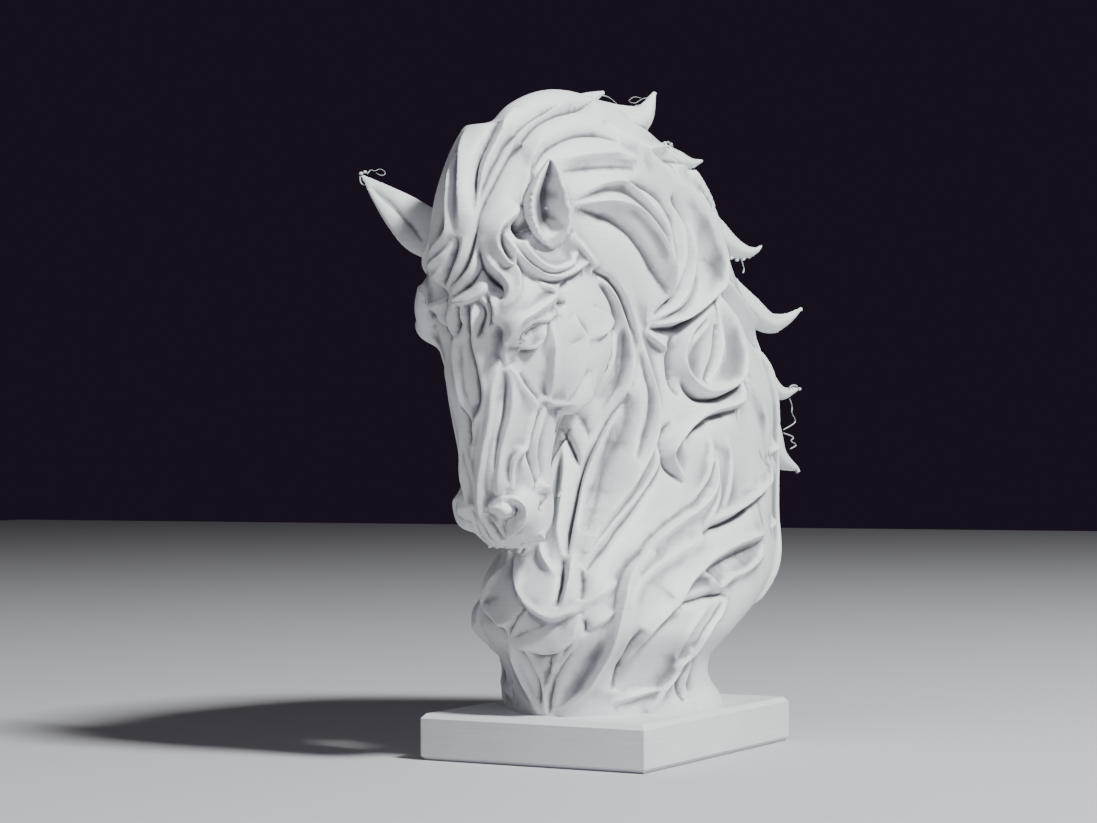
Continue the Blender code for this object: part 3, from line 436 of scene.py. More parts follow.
# The mane's layers and its two curls, on both sides of the neck
MANE_LINES = (
    Stroke("first layer, edge", 1.2, 2.5, 0.9,
        558, 162,  570, 158,  585, 156,  600, 155,  618, 155,  634, 159),
    Stroke("first layer, valley", -0.9, 0.7, 1.6,
        560, 172,  575, 170,  590, 168,  605, 167,  620, 167,  634, 169),
    Stroke("second layer, edge", 1.4, 2.2, 0.9,
        567, 199,  580, 194,  590, 189,  600, 184,  610, 182,  620, 182,  628, 187,  636, 195,
        645, 205,  654, 216,  661, 228,  666, 241,  669, 255,  671, 270),
    Stroke("second layer, valley", -0.9, 0.7, 1.5,
        570, 203,  585, 197,  598, 193,  610, 191,  622, 192,  631, 197,  640, 206,  650, 218,
        658, 230,  663, 243,  666, 258),
    Stroke("third layer, edge", 2.1, 2.0, 1.4,
        567, 205,  580, 203,  595, 201,  610, 201,  622, 204,  632, 208,  642, 216,  650, 225,
        657, 236,  663, 249,  667, 263,  670, 277,  671, 291,  670, 301),
    Stroke("third layer, valley", -1.5, 1.0, 2.5,
        567, 209,  585, 211,  600, 215,  612, 219,  622, 225,  633, 234,  642, 245,  649, 256,
        655, 268,  661, 280,  667, 292,  671, 302),
    Stroke("fourth parting", -1.4, 0.8, 0.8,
        622, 181,  634, 184,  645, 187,  654, 193,  661, 200,  667, 209,  672, 219,  675, 232,
        677, 246,  677, 258,  676, 272,  675, 286),
    Stroke("fourth layer, crest", 0.9, 0.8, 0.8,
        672, 205,  678, 218,  682, 232,  683, 246,  683, 260,  681, 274,  678, 288),
    Stroke("fifth parting", -1.9, 0.7, 0.8,
        668, 196,  676, 206,  683, 219,  687, 232,  689, 246,  689, 260,  687, 273,  683, 285,
        678, 295,  671, 303,  662, 309,  652, 315),
    Stroke("fifth layer, edge", 1.2, 1.0, 0.6,
        687, 220,  691, 234,  692, 248,  692, 262,  690, 275,  687, 285,  683, 294,  677, 302,
        669, 309,  660, 314,  649, 319),
    Stroke("sixth parting", -1.4, 0.6, 0.6,
        692, 256,  696, 268,  697, 281,  694, 292,  688, 302,  681, 309,  672, 314,  661, 319,  652, 321),
    Stroke("outer layer, edge", 2.3, 0.6, 2.6,
        606, 121,  613, 129,  620, 137,  628, 144,  636, 152,  645, 161,  655, 172,  665, 180,
        675, 188,  684, 196,  692, 206,  700, 218,  706, 230,  711, 242,  715, 254,  717, 266,
        717, 278,  714, 288,  708, 296,  700, 304,  690, 312,  680, 318,  668, 322,  656, 325,  646, 327),
    Stroke("outer layer, valley", -2.2, 1.0, 0.7,
        650, 163,  662, 174,  672, 181,  682, 188,  691, 197,  699, 209,  706, 221,  713, 234,  719, 248),
    Stroke("tuft, slit below", -2.0, 0.6, 0.6,
        647, 328,  658, 329,  668, 329,  678, 328,  688, 323,  699, 315,  708, 305,  715, 293),
    Stroke("tuft, hanging point", 1.1, 1.2, 0.5,
        644, 328,  650, 336,  657, 343,  664, 348,  672, 351),
    Stroke("crest tuft, upper edge", 1.2, 1.6, 0.7,
        634, 154,  650, 151,  665, 150,  678, 152,  690, 157,  699, 161),
    Stroke("crest tuft, valley", -0.9, 0.6, 1.0,
        640, 158,  655, 158,  668, 159,  679, 162,  688, 168),
    Stroke("back lock, crest", 1.1, 0.9, 0.9,
        672, 166,  686, 172,  695, 183,  702, 196,  709, 209,  717, 221,  726, 232,  736, 242,  747, 249),
    Stroke("long lock, valley", -1.8, 1.0, 1.2,
        718, 268,  721, 280,  727, 296,  734, 310,  742, 322,  751, 334,  759, 347,  765, 361,  770, 376),
    Stroke("long lock, crest", 1.6, 1.0, 1.0,
        718, 264,  722, 277,  728, 290,  736, 303,  744, 315,  752, 326,  760, 338,  766, 350,
        771, 363,  775, 377,  778, 392,  779, 406,  779, 419,  777, 431,  773, 442,  768, 453),
    Stroke("branch lock, crest", 0.6, 0.8, 0.8,
        722, 270,  729, 284,  738, 296,  748, 306,  759, 314,  771, 319,  784, 320,  796, 315),
    Stroke("upper curl, rim", 1.9, 0.6, 2.0,
        716, 288,  721, 304,  727, 318,  733, 332,  737, 346,  739, 358,  739, 370,  736, 381,
        729, 388,  718, 392,  706, 393,  697, 389,  689, 383,  683, 375,  680, 366,  679, 356,
        681, 345,  685, 335,  692, 326,  700, 318,  708, 308,  713, 299),
    Stroke("upper curl, inner crest", 1.0, 1.0, 0.6,
        718, 316,  720, 332,  720, 346,  718, 358,  714, 370,  709, 378,  703, 384),
    Stroke("upper curl, inner hollow", -1.3, 0.7, 0.7,
        715, 322,  716, 340,  715, 355,  711, 367,  705, 377,  700, 383),
    Stroke("upper curl, far crest", 0.9, 0.7, 1.0,
        712, 316,  703, 328,  694, 337,  687, 347,  683, 358),
    Stroke("upper curl, far parting", -0.9, 0.6, 0.6,
        707, 316,  698, 326,  690, 335,  684, 345),
    Stroke("upper curl, side valley", -2.4, 0.9, 1.3,
        675, 330,  674, 345,  673, 360,  674, 373,  676, 386,  681, 398),
    Stroke("upper curl, lower valley", -2.0, 0.9, 0.8,
        680, 380,  688, 390,  698, 397,  710, 399,  722, 398,  733, 392,  740, 384),
    Stroke("lower curl, rim", 1.7, 0.9, 0.9,
        741, 376,  742, 387,  740, 397,  734, 404,  725, 408,  713, 411,  702, 416,  693, 422,
        685, 430,  678, 438,  673, 446,  670, 454,  673, 463,  679, 472,  686, 480),
    Stroke("lower curl, side valley", -2.3, 0.9, 0.9,
        672, 420,  666, 431,  663, 443,  664, 455,  669, 466,  676, 475,  684, 483),
    Stroke("lower curl, hollow", -1.7, 1.1, 0.8,
        737, 409,  724, 413,  712, 417,  701, 424,  691, 432,  683, 440),
    Stroke("lower curl, inner fold", 0.8, 0.6, 0.6,
        712, 412,  713, 419,  704, 421,  694, 427,  684, 436),
)
# The neck's muscles and the shoulder's folds, on both sides
NECK_LINES = (
    Stroke("jaw band, crease", -1.6, 0.7, 0.7,
        592, 270,  602, 276,  610, 281,  617, 290,  622, 300,  626, 312,  629, 324,  631, 336),
    Stroke("jaw band, crest", 1.1, 0.8, 1.0,
        599, 277,  607, 283,  613, 292,  619, 302,  624, 316,  627, 330,  629, 345,  630, 359,
        629, 373,  626, 386,  621, 397,  614, 408,  607, 420,  600, 432,  593, 443,  585, 455,  579, 466),
    Stroke("jaw band, hollow", -1.1, 0.8, 1.8,
        622, 325,  624, 340,  624, 356,  622, 372,  617, 386,  610, 398,  601, 411),
    Stroke("second band, crest", 1.0, 1.2, 0.6,
        600, 270,  610, 277,  618, 286,  625, 298,  630, 312,  634, 326,  637, 340,  639, 354,  642, 368),
    Stroke("second band, valley", -1.5, 0.7, 1.0,
        637, 350,  640, 365,  643, 378,  646, 391,  647, 404,  646, 418,  643, 432,  638, 448,  631, 464),
    Stroke("neck ridge, crest", 2.3, 1.0, 3.4,
        636, 332,  641, 350,  645, 368,  649, 386,  652, 402,  653, 415,  652, 430,  649, 444,
        644, 458,  637, 472,  629, 487,  620, 500,  611, 513,  602, 526,  593, 540,  585, 553),
    Stroke("neck scoop, hollow", -2.0, 3.2, 3.0,
        626, 392,  619, 408,  614, 424,  610, 440,  606, 456,  603, 472,  600, 488,  596, 504,
        591, 520,  586, 536),
    Stroke("throat cord, hollow", -1.8, 0.7, 0.7,
        622, 398,  614, 411,  606, 424,  598, 438,  590, 452,  584, 466,  580, 480,  577, 495,
        574, 510,  571, 525,  569, 540,  568, 557),
    Stroke("throat cord, crest", 1.3, 1.6, 0.6,
        625, 402,  617, 415,  609, 428,  601, 442,  594, 456,  588, 470,  583, 485,  580, 500,
        577, 515,  574, 530,  571, 545,  570, 560),
    Stroke("throat slit", -1.5, 0.8, 0.8,
        558, 422,  563, 434,  569, 446,  575, 458,  581, 471),
    Stroke("recess under the jaw", -0.8, 1.8, 1.8,
        572, 408,  580, 418,  587, 430,  590, 443),
    Stroke("throat strip, crest", 1.1, 1.2, 0.8,
        560, 430,  564, 447,  566, 462,  565, 480,  563, 498,  561, 515,  559, 532,  561, 548,  565, 562),
    Stroke("third band, crest", 1.1, 1.0, 0.7,
        663, 428,  660, 448,  656, 466,  649, 481,  640, 494,  628, 508,  615, 523,  604, 538,
        593, 552,  584, 566),
    Stroke("third band, valley", -1.3, 0.6, 0.6,
        661, 460,  656, 476,  647, 491,  638, 504,  628, 517,  617, 530,  606, 545,  595, 558,  585, 572),
    Stroke("shoulder ridge, upper crest", 1.0, 1.2, 0.8,
        708, 430,  710, 445,  709, 460,  707, 475,  702, 488,  694, 500,  683, 511,  670, 521,
        658, 531,  648, 541,  639, 552),
    Stroke("shoulder ridge, crest", 1.6, 1.2, 1.0,
        713, 448,  714, 462,  713, 476,  710, 489,  704, 500,  695, 510,  684, 518,  672, 527,
        660, 537,  648, 548,  640, 557),
    Stroke("shoulder ridge, valley", -1.2, 0.6, 0.8,
        712, 462,  709, 479,  702, 492,  692, 503,  680, 513,  668, 522,  656, 532,  645, 543,  636, 553),
    Stroke("fine crest before the belly", 0.7, 0.6, 0.6,
        718, 474,  718, 488,  716, 501,  711, 514,  705, 527),
    Stroke("fine crest on the belly", 0.7, 0.8, 0.8,
        727, 436,  730, 456,  729, 476,  726, 495,  720, 511),
    Stroke("belly fold, edge", 1.4, 0.6, 1.4,
        767, 455,  768, 470,  765, 482,  757, 492,  749, 500,  740, 507,  728, 514,  715, 521,  705, 529),
    Stroke("belly fold, hollow", -1.4, 0.8, 0.7,
        755, 499,  747, 510,  736, 518,  722, 524,  711, 528,  702, 536),
    Stroke("flank crest", 1.2, 0.9, 0.9,
        738, 366,  746, 381,  754, 396,  760, 411,  763, 425,  765, 440,  767, 455),
    Stroke("back edge", 0.9, 0.7, 0.7,
        769, 452,  771, 470,  773, 485,  774, 500,  773, 515,  770, 528),
    Stroke("inner shoulder crest", 1.0, 1.3, 1.3,
        705, 537,  692, 545,  678, 553,  666, 561,  655, 569,  645, 578,  637, 588,  632, 600,
        630, 613,  628, 626,  624, 641,  620, 656,  618, 668,  614, 682),
    Stroke("inner shoulder hollow", -2.0, 1.0, 0.9,
        641, 628,  633, 641,  627, 652,  621, 664,  616, 676,  612, 690),
    Stroke("wing, upper edge", 1.6, 0.7, 2.2,
        764, 534,  745, 541,  730, 548,  715, 557,  703, 567,  693, 577,  685, 587,  680, 597,
        677, 606,  668, 612,  658, 621,  648, 631,  638, 643,  630, 654,  623, 666),
    Stroke("wing, hollow", -1.0, 2.9, 0.9,
        756, 545,  738, 552,  722, 560,  709, 568,  700, 574),
    Stroke("wing, wavy edge", 1.3, 0.7, 0.7,
        763, 543,  758, 555,  751, 565,  740, 573,  729, 578,  722, 584,  717, 589,  712, 584,
        707, 577,  701, 575,  695, 577,  690, 583),
    Stroke("wing, lower parting", -1.4, 0.6, 0.6,
        728, 598,  722, 594,  714, 595,  705, 597,  695, 600,  685, 603,  676, 609,  666, 616),
    Stroke("tail fold, crest", 1.5, 0.8, 0.8,
        727, 597,  722, 606,  716, 615,  709, 625,  702, 635,  694, 645,  685, 654,  677, 662,
        673, 671,  668, 680,  662, 690,  657, 701,  648, 712),
    Stroke("tail fold, parting", -1.0, 0.5, 0.5,
        723, 600,  718, 608,  712, 618,  705, 628,  698, 638,  690, 647),
    Stroke("tail fold, second crest", 0.8, 0.8, 0.8,
        712, 600,  702, 612,  693, 624,  685, 636,  678, 648,  674, 662),
    Stroke("heel, crest", 1.0, 0.7, 0.7,
        691, 648,  687, 661,  683, 674,  682, 686,  687, 697),
    Stroke("heel, parting", -1.0, 0.6, 0.6,
        679, 668,  678, 682,  680, 693,  685, 701),
    Stroke("foot, fold", 0.8, 1.2, 0.6,
        610, 702,  624, 699,  637, 695,  650, 691,  662, 688),
)
# The mane at the back, out of the photograph's sight, by points near the skin
BACK_LINES = (
    BackStroke("outer lock", 1.5, 1.4, 0.8,
        10, 20, 128,  14, 42, 112,  15, 58, 92,  14, 66, 72,  12, 68, 54,  9, 64, 36),
    BackStroke("outer parting", -1.3, 0.8, 0.8,
        8, 22, 128,  11, 44, 112,  12, 60, 92,  11, 68, 72,  9, 69, 54,  6, 63, 36),
    BackStroke("inner lock", 1.4, 1.4, 0.8,
        5, 24, 128,  8, 46, 112,  9, 62, 92,  8, 70, 72,  6, 70, 52,  4, 62, 34),
    BackStroke("inner parting", -1.2, 0.8, 0.8,
        3, 26, 128,  5, 48, 111,  5, 64, 91,  4, 71, 71,  3, 70, 51,  2, 61, 33),
    BackStroke("middle lock", 1.4, 1.4, 1.4,
        0, 28, 127,  1, 50, 110,  2, 65, 90,  1, 71, 70,  0, 70, 50,  0, 60, 32),
    BackStroke("side lock", 1.3, 1.4, 0.8,
        19, 50, 84,  19, 58, 66,  18, 58, 48,  16, 50, 34,  13, 36, 22),
    BackStroke("side parting", -1.2, 0.8, 0.8,
        17, 54, 80,  17, 60, 64,  16, 60, 47,  14, 52, 33,  11, 38, 21),
    BackStroke("lower lock", 1.3, 1.2, 0.8,
        12, 62, 44,  10, 50, 30,  9, 36, 18,  12, 28, 6),
    BackStroke("lower middle lock", 1.3, 1.2, 1.2,
        3, 58, 34,  2, 44, 22,  3, 32, 12,  4, 28, 2),
)

# The strokes, where their twins lie, what their heights are multiplied by and the twins' share of that
STROKE_GROUPS = (
    StrokeGroup(FORELOCK_LINES, Twin.NONE, 1.5),
    StrokeGroup(FAR_EAR_LINES, Twin.NONE, 1.2),
    StrokeGroup(BRIDGE_LINES, Twin.NONE, 1.2),
    StrokeGroup(CHEST_LINES, Twin.NONE, 1.35),
    StrokeGroup(EAR_LINES, Twin.HEAD, 1.4),
    StrokeGroup(FACE_LINES, Twin.HEAD, 1.3, 0.35),
    StrokeGroup(MANE_LINES, Twin.BODY, 1.45),
    StrokeGroup(NECK_LINES, Twin.BODY, 1.45),
)
BACK_RELIEF = 1.6

# Keeps a length from being divided by nothing, and a curve's last point inside its last stretch
TINY = 1e-9
# Rounds that soften a stroke's course and the way it faces
COURSE_ROUNDS = 3
OUTWARD_ROUNDS = 12
# Section of a strand: how sharply its outer side is peaked, and its depths as shares of its half width
STRAND_PEAK = 0.85
STRAND_BACK = 0.7
STRAND_THICKNESS = 0.75


def unit(vectors: np.ndarray) -> np.ndarray:
    """Gives the vector, or each row of vectors, at length one."""
    vectors = np.asarray(vectors, float)
    return vectors / np.maximum(np.linalg.norm(vectors, axis=-1, keepdims=True), TINY)


def smooth_curve(points: Sequence[Point], count: int) -> np.ndarray:
    """Gives count rows along a smooth curve through the given rows, of any width.

    Args:
        points: the rows that the curve passes through.
        count: how many rows to give.

    Returns:
        The rows, as one array.
    """
    given = np.array(points, float)
    padded = np.vstack((2 * given[0] - given[1], given, 2 * given[-1] - given[-2]))
    where = np.linspace(0, len(given) - 1 - TINY, count)
    start = where.astype(int)
    t = (where - start)[:, None]
    a, b, c, d = (padded[start + k] for k in range(4))
    return 0.5 * (
        2 * b + (c - a) * t + (2 * a - 5 * b + 4 * c - d) * t**2 + (3 * b - a - 3 * c + d) * t**3
    )


def softened(rows: np.ndarray, rounds: int) -> np.ndarray:
    """Moves each row but the first and last towards its neighbours.

    Args:
        rows: the rows, in order.
        rounds: how many times they are moved.

    Returns:
        The moved rows.
    """
    rows = rows.copy()
    for _ in range(rounds):
        rows[1:-1] = (rows[:-2] + 2 * rows[1:-1] + rows[2:]) / 4
    return rows


def other_side(points: np.ndarray, turn: float) -> np.ndarray:
    """Mirrors points in the upright plane that is turned about Z.

    Args:
        points: grid points or vectors, one a row.
        turn: the plane's angle.

    Returns:
        The mirrored rows.
    """
    x, y, z = np.asarray(points, float).T
    c, s = math.cos(turn), math.sin(turn)
    across, along = -(x * c + y * s), y * c - x * s
    return np.stack((across * c - along * s, across * s + along * c, z), axis=-1)


def turned_head(points: Iterable[Point]) -> np.ndarray:
    """Turns points with the head, about the neck's upright axis.

    Args:
        points: grid points, one a row.

    Returns:
        The turned rows.
    """
    x, y, z = np.array(list(points), float).T
    c, s = math.cos(HEAD_TURN), math.sin(HEAD_TURN)
    return np.stack((x * c - y * s, x * s + y * c, z), axis=-1)


def linked(name: str, data: bpy.types.ID) -> bpy.types.Object:
    """Adds an object to the scene.

    Args:
        name: its name.
        data: its mesh, light or camera.

    Returns:
        The object.
    """
    holder = bpy.data.objects.new(name, data)
    bpy.context.scene.collection.objects.link(holder)
    return holder


def select_only(*chosen: bpy.types.Object) -> None:
    """Selects objects alone, and makes the last of them the active one.

    Args:
        chosen: the objects.
    """
    bpy.ops.object.select_all(action="DESELECT")
    for piece in chosen:
        piece.select_set(True)
        bpy.context.view_layer.objects.active = piece


def settled_mesh(body: bpy.types.Object) -> bpy.types.Mesh:
    """Applies an object's modifiers in order, and removes the object.

    Args:
        body: the object.

    Returns:
        Its mesh.
    """
    select_only(body)
    for name in [modifier.name for modifier in body.modifiers]:
        bpy.ops.object.modifier_apply(modifier=name)
    mesh = body.data
    bpy.data.objects.remove(body)
    return mesh


def vertex_rows(mesh: bpy.types.Mesh) -> tuple[np.ndarray, np.ndarray]:
    """Reads where a mesh's vertices are and which way they face.

    Args:
        mesh: the mesh.

    Returns:
        The vertices' places and their normals, one a row.
    """
    places, normals = (np.empty(len(mesh.vertices) * 3) for _ in range(2))
    mesh.vertices.foreach_get("co", places)
    mesh.vertices.foreach_get("normal", normals)
    return places.reshape(-1, 3), normals.reshape(-1, 3)


def within_reach(
    points: np.ndarray, spots: np.ndarray, reach: float
) -> tuple[np.ndarray, np.ndarray, np.ndarray]:
    """Finds the vertices near a course.

    Args:
        points: the course.
        spots: the mesh's vertices.
        reach: how far beyond the course's box they may lie.

    Returns:
        The vertices, and for each the nearest point of the course and its distance.
    """
    inside = (spots > points.min(axis=0) - reach) & (spots < points.max(axis=0) + reach)
    near = np.flatnonzero(inside.all(axis=1))
    here = spots[near]
    apart = (here**2).sum(axis=1)[:, None] + (points**2).sum(axis=1) - 2 * here @ points.T
    return near, apart.argmin(axis=1), np.sqrt(np.maximum(apart.min(axis=1), 0))


@dataclass(frozen=True)
class PhotoCamera:
    """The camera that took the photograph, placed on the figure's grid.

    Args:
        lens: its focal length, in pixels.
        width: the photograph's width, in pixels.
        middle: the photograph's middle pixel.
        azimuth: its turn about Z, from straight in front of the horse.
        distance: how far in front of the grid's zero it stands.
        offset: how far to the right of that line it stands.
        height: how far above the grid's zero it stands.
        pitch: how far it looks down.
        roll: its turn about the line that it looks along.
        sensor: its sensor's width, in millimetres.
        near: where its view starts, in metres.
    """

    lens: float = 2600.0
    width: float = 1097.0
    middle: tuple[float, float] = (548.5, 411.5)
    azimuth: float = math.radians(30.0)
    distance: float = 590.0
    offset: float = -13.5
    height: float = 58.0
    pitch: float = math.radians(-0.83)
    roll: float = math.radians(0.35)
    sensor: float = 36.0
    near: float = 0.01

    def level(self) -> tuple[np.ndarray, np.ndarray, np.ndarray]:
        """Gives unit vectors to the camera's right, level ahead of it, and straight up."""
        right = np.array((math.cos(self.azimuth), math.sin(self.azimuth), 0.0))
        ahead = np.array((-math.sin(self.azimuth), math.cos(self.azimuth), 0.0))
        return right, ahead, np.array((0.0, 0.0, 1.0))

    def axes(self) -> tuple[np.ndarray, np.ndarray, np.ndarray]:
        """Gives the camera's rightward, upward and forward unit vectors before its roll."""
        right, ahead, up = self.level()
        forward = ahead * math.cos(self.pitch) - up * math.sin(self.pitch)
        upward = up * math.cos(self.pitch) + ahead * math.sin(self.pitch)
        return right, upward, forward

    def eye(self) -> np.ndarray:
        """Gives the eye's grid point."""
        right, ahead, up = self.level()
        return right * self.offset - ahead * self.distance + up * self.height

    def sight(self, px: float, py: float) -> np.ndarray:
        """Gives the direction of the line of sight through a pixel.

        Args:
            px: the pixel's place from the left.
            py: the pixel's place from the top.

        Returns:
            The direction, at length one.
        """
        right, upward, forward = self.axes()
        across, above = (px - self.middle[0]) / self.lens, (self.middle[1] - py) / self.lens
        turned = across * math.cos(self.roll) + above * math.sin(self.roll)
        raised = above * math.cos(self.roll) - across * math.sin(self.roll)
        return unit(forward + right * turned + upward * raised)

    def sighted(self, px: float, py: float, side: float) -> np.ndarray:
        """Gives the grid point behind a pixel, at a distance side to the horse's left."""
        way = self.sight(px, py)
        return self.eye() + way * (side - self.eye()[0]) / way[0]

    def spine(self, rows: np.ndarray) -> np.ndarray:
        """Gives the grid points of rows that start with pixel x, pixel y and distance to the left."""
        return np.array([self.sighted(px, py, side) for px, py, side in rows[:, :3]])

    def place(self) -> None:
        """Adds the camera to the scene and makes it the scene's own."""
        camera = bpy.data.cameras.new("photo_camera")
        camera.sensor_width = self.sensor
        camera.lens = self.lens / self.width * self.sensor
        camera.clip_start = self.near
        holder = linked("photo_camera", camera)
        right, upward, forward = (Vector(axis) for axis in self.axes())
        turn = Matrix((right, upward, -forward)).transposed() @ Matrix.Rotation(-self.roll, 3, "Z")
        spot = Vector(self.eye()) * UNIT + Vector((0, 0, PLINTH_HEIGHT))
        holder.matrix_world = Matrix.Translation(spot) @ turn.to_4x4()
        bpy.context.scene.camera = holder


CAMERA = PhotoCamera()


class Clay:
    """Closed shells that are gathered here and then made one skin."""

    def __init__(self) -> None:
        """Starts with nothing."""
        self.points: list[Point] = []
        self.faces: list[tuple[int, ...]] = []

    @classmethod
    def of(cls, mesh: bpy.types.Mesh) -> "Clay":
        """Makes clay of a mesh's own faces.

        Args:
            mesh: the mesh.

        Returns:
            The clay.
        """
        clay = cls()
        clay.points = [tuple(v.co) for v in mesh.vertices]
        clay.faces = [tuple(p.vertices) for p in mesh.polygons]
        return clay

    def tube(self, rings: Sequence[Sequence[Point]]) -> None:
        """Adds a tube, closed at its ends.

        Args:
            rings: the rings that it runs through, of equally many points.
        """
        first, count = len(self.points), len(rings[0])
        for ring in rings:
            self.points.extend(map(tuple, ring))
        for r in range(len(rings) - 1):
            for k in range(count):
                a, b = first + r * count + k, first + r * count + (k + 1) % count
                self.faces.append((a, b, b + count, a + count))
        self.faces.append(tuple(first + k for k in reversed(range(count))))
        last = first + (len(rings) - 1) * count
        self.faces.append(tuple(last + k for k in range(count)))

    def egg(self, middle: Point, radii: Point, turn: float, rings: int = 14, count: int = 20) -> None:
        """Adds an ellipsoid turned about Z.

        Args:
            middle: its middle.
            radii: its half sizes.
            turn: its turn about Z.
            rings: how many bands it has from end to end.
            count: how many points each ring has.
        """
        made = []
        for r in range(1, rings):
            theta = math.pi * r / rings
            ring = []
            for k in range(count):
                phi = 2 * math.pi * k / count
                x = radii[0] * math.sin(theta) * math.cos(phi)
                y = radii[1] * math.sin(theta) * math.sin(phi)
                across = x * math.cos(turn) - y * math.sin(turn)
                along = x * math.sin(turn) + y * math.cos(turn)
                ring.append((middle[0] + across, middle[1] + along, middle[2] - radii[2] * math.cos(theta)))
            made.append(ring)
        self.tube(made)

    def mesh(self, name: str) -> bpy.types.Mesh:
        """Gives the shells as a mesh.

        Args:
            name: the mesh's name.

        Returns:
            The mesh.
        """
        mesh = bpy.data.meshes.new(name)
        mesh.from_pydata(self.points, [], self.faces)
        return mesh

    def skin(self, voxel: float, smoothing: int) -> bpy.types.Mesh:
        """Makes one closed skin round all the shells.

        Args:
            voxel: the size of the skin's faces.
            smoothing: rounds of smoothing after it.

        Returns:
            The skin's mesh.
        """
        body = linked("clay", self.mesh("clay"))
        remesh = body.modifiers.new("skin", "REMESH")
        remesh.mode = "VOXEL"
        remesh.voxel_size = voxel
        smooth = body.modifiers.new("soften", "SMOOTH")
        smooth.factor = 0.5
        smooth.iterations = smoothing
        return settled_mesh(body)


class Surface:
    """A skin as it stands, for the strokes that are drawn on it."""

    def __init__(self, mesh: bpy.types.Mesh) -> None:
        """Indexes a mesh's faces.

        Args:
            mesh: the mesh.
        """
        self.tree = BVHTree.FromPolygons(
            [v.co for v in mesh.vertices], [tuple(p.vertices) for p in mesh.polygons]
        )

    def traced(self, pixels: np.ndarray) -> tuple[np.ndarray, np.ndarray]:
        """Finds where lines of sight meet the skin.

        Args:
            pixels: the photograph's pixels that they pass through.

        Returns:
            The points where they meet it, and its normals there.
        """
        eye, found = Vector(CAMERA.eye()), []
        for px, py in pixels:
            hit, normal, _, _ = self.tree.ray_cast(eye, Vector(CAMERA.sight(px, py)))
            if hit is not None:
                found.append((hit, normal))
        return np.array([f[0] for f in found], float), np.array([f[1] for f in found], float)

    def settled(self, points: np.ndarray) -> tuple[np.ndarray, np.ndarray]:
        """Gives the skin's nearest points to the given ones, and its normals there."""
        found = [self.tree.find_nearest(Vector(p))[:2] for p in points]
        return np.array([f[0] for f in found], float), np.array([f[1] for f in found], float)


@dataclass
class LaidStroke:
    """A stroke as it lies on the skin.

    Args:
        stroke: the stroke.
        points: its course.
        outward: the skin's normal at each point.
        relief: what its height is multiplied by.
        hand: -1 for a twin, whose left and right change places.
    """

    stroke: Stroke
    points: np.ndarray
    outward: np.ndarray
    relief: float
    hand: int = 1
    leftward: np.ndarray = field(init=False)
    lengths: np.ndarray = field(init=False)

    def __post_init__(self) -> None:
        """Softens the course and works out which way is left along it."""
        self.points = softened(self.points, COURSE_ROUNDS)
        self.outward = unit(softened(self.outward, OUTWARD_ROUNDS))
        self.leftward = unit(np.cross(self.outward, np.gradient(self.points, axis=0))) * self.hand
        steps = np.linalg.norm(np.diff(self.points, axis=0), axis=1)
        self.lengths = np.concatenate(([0.0], np.cumsum(steps)))


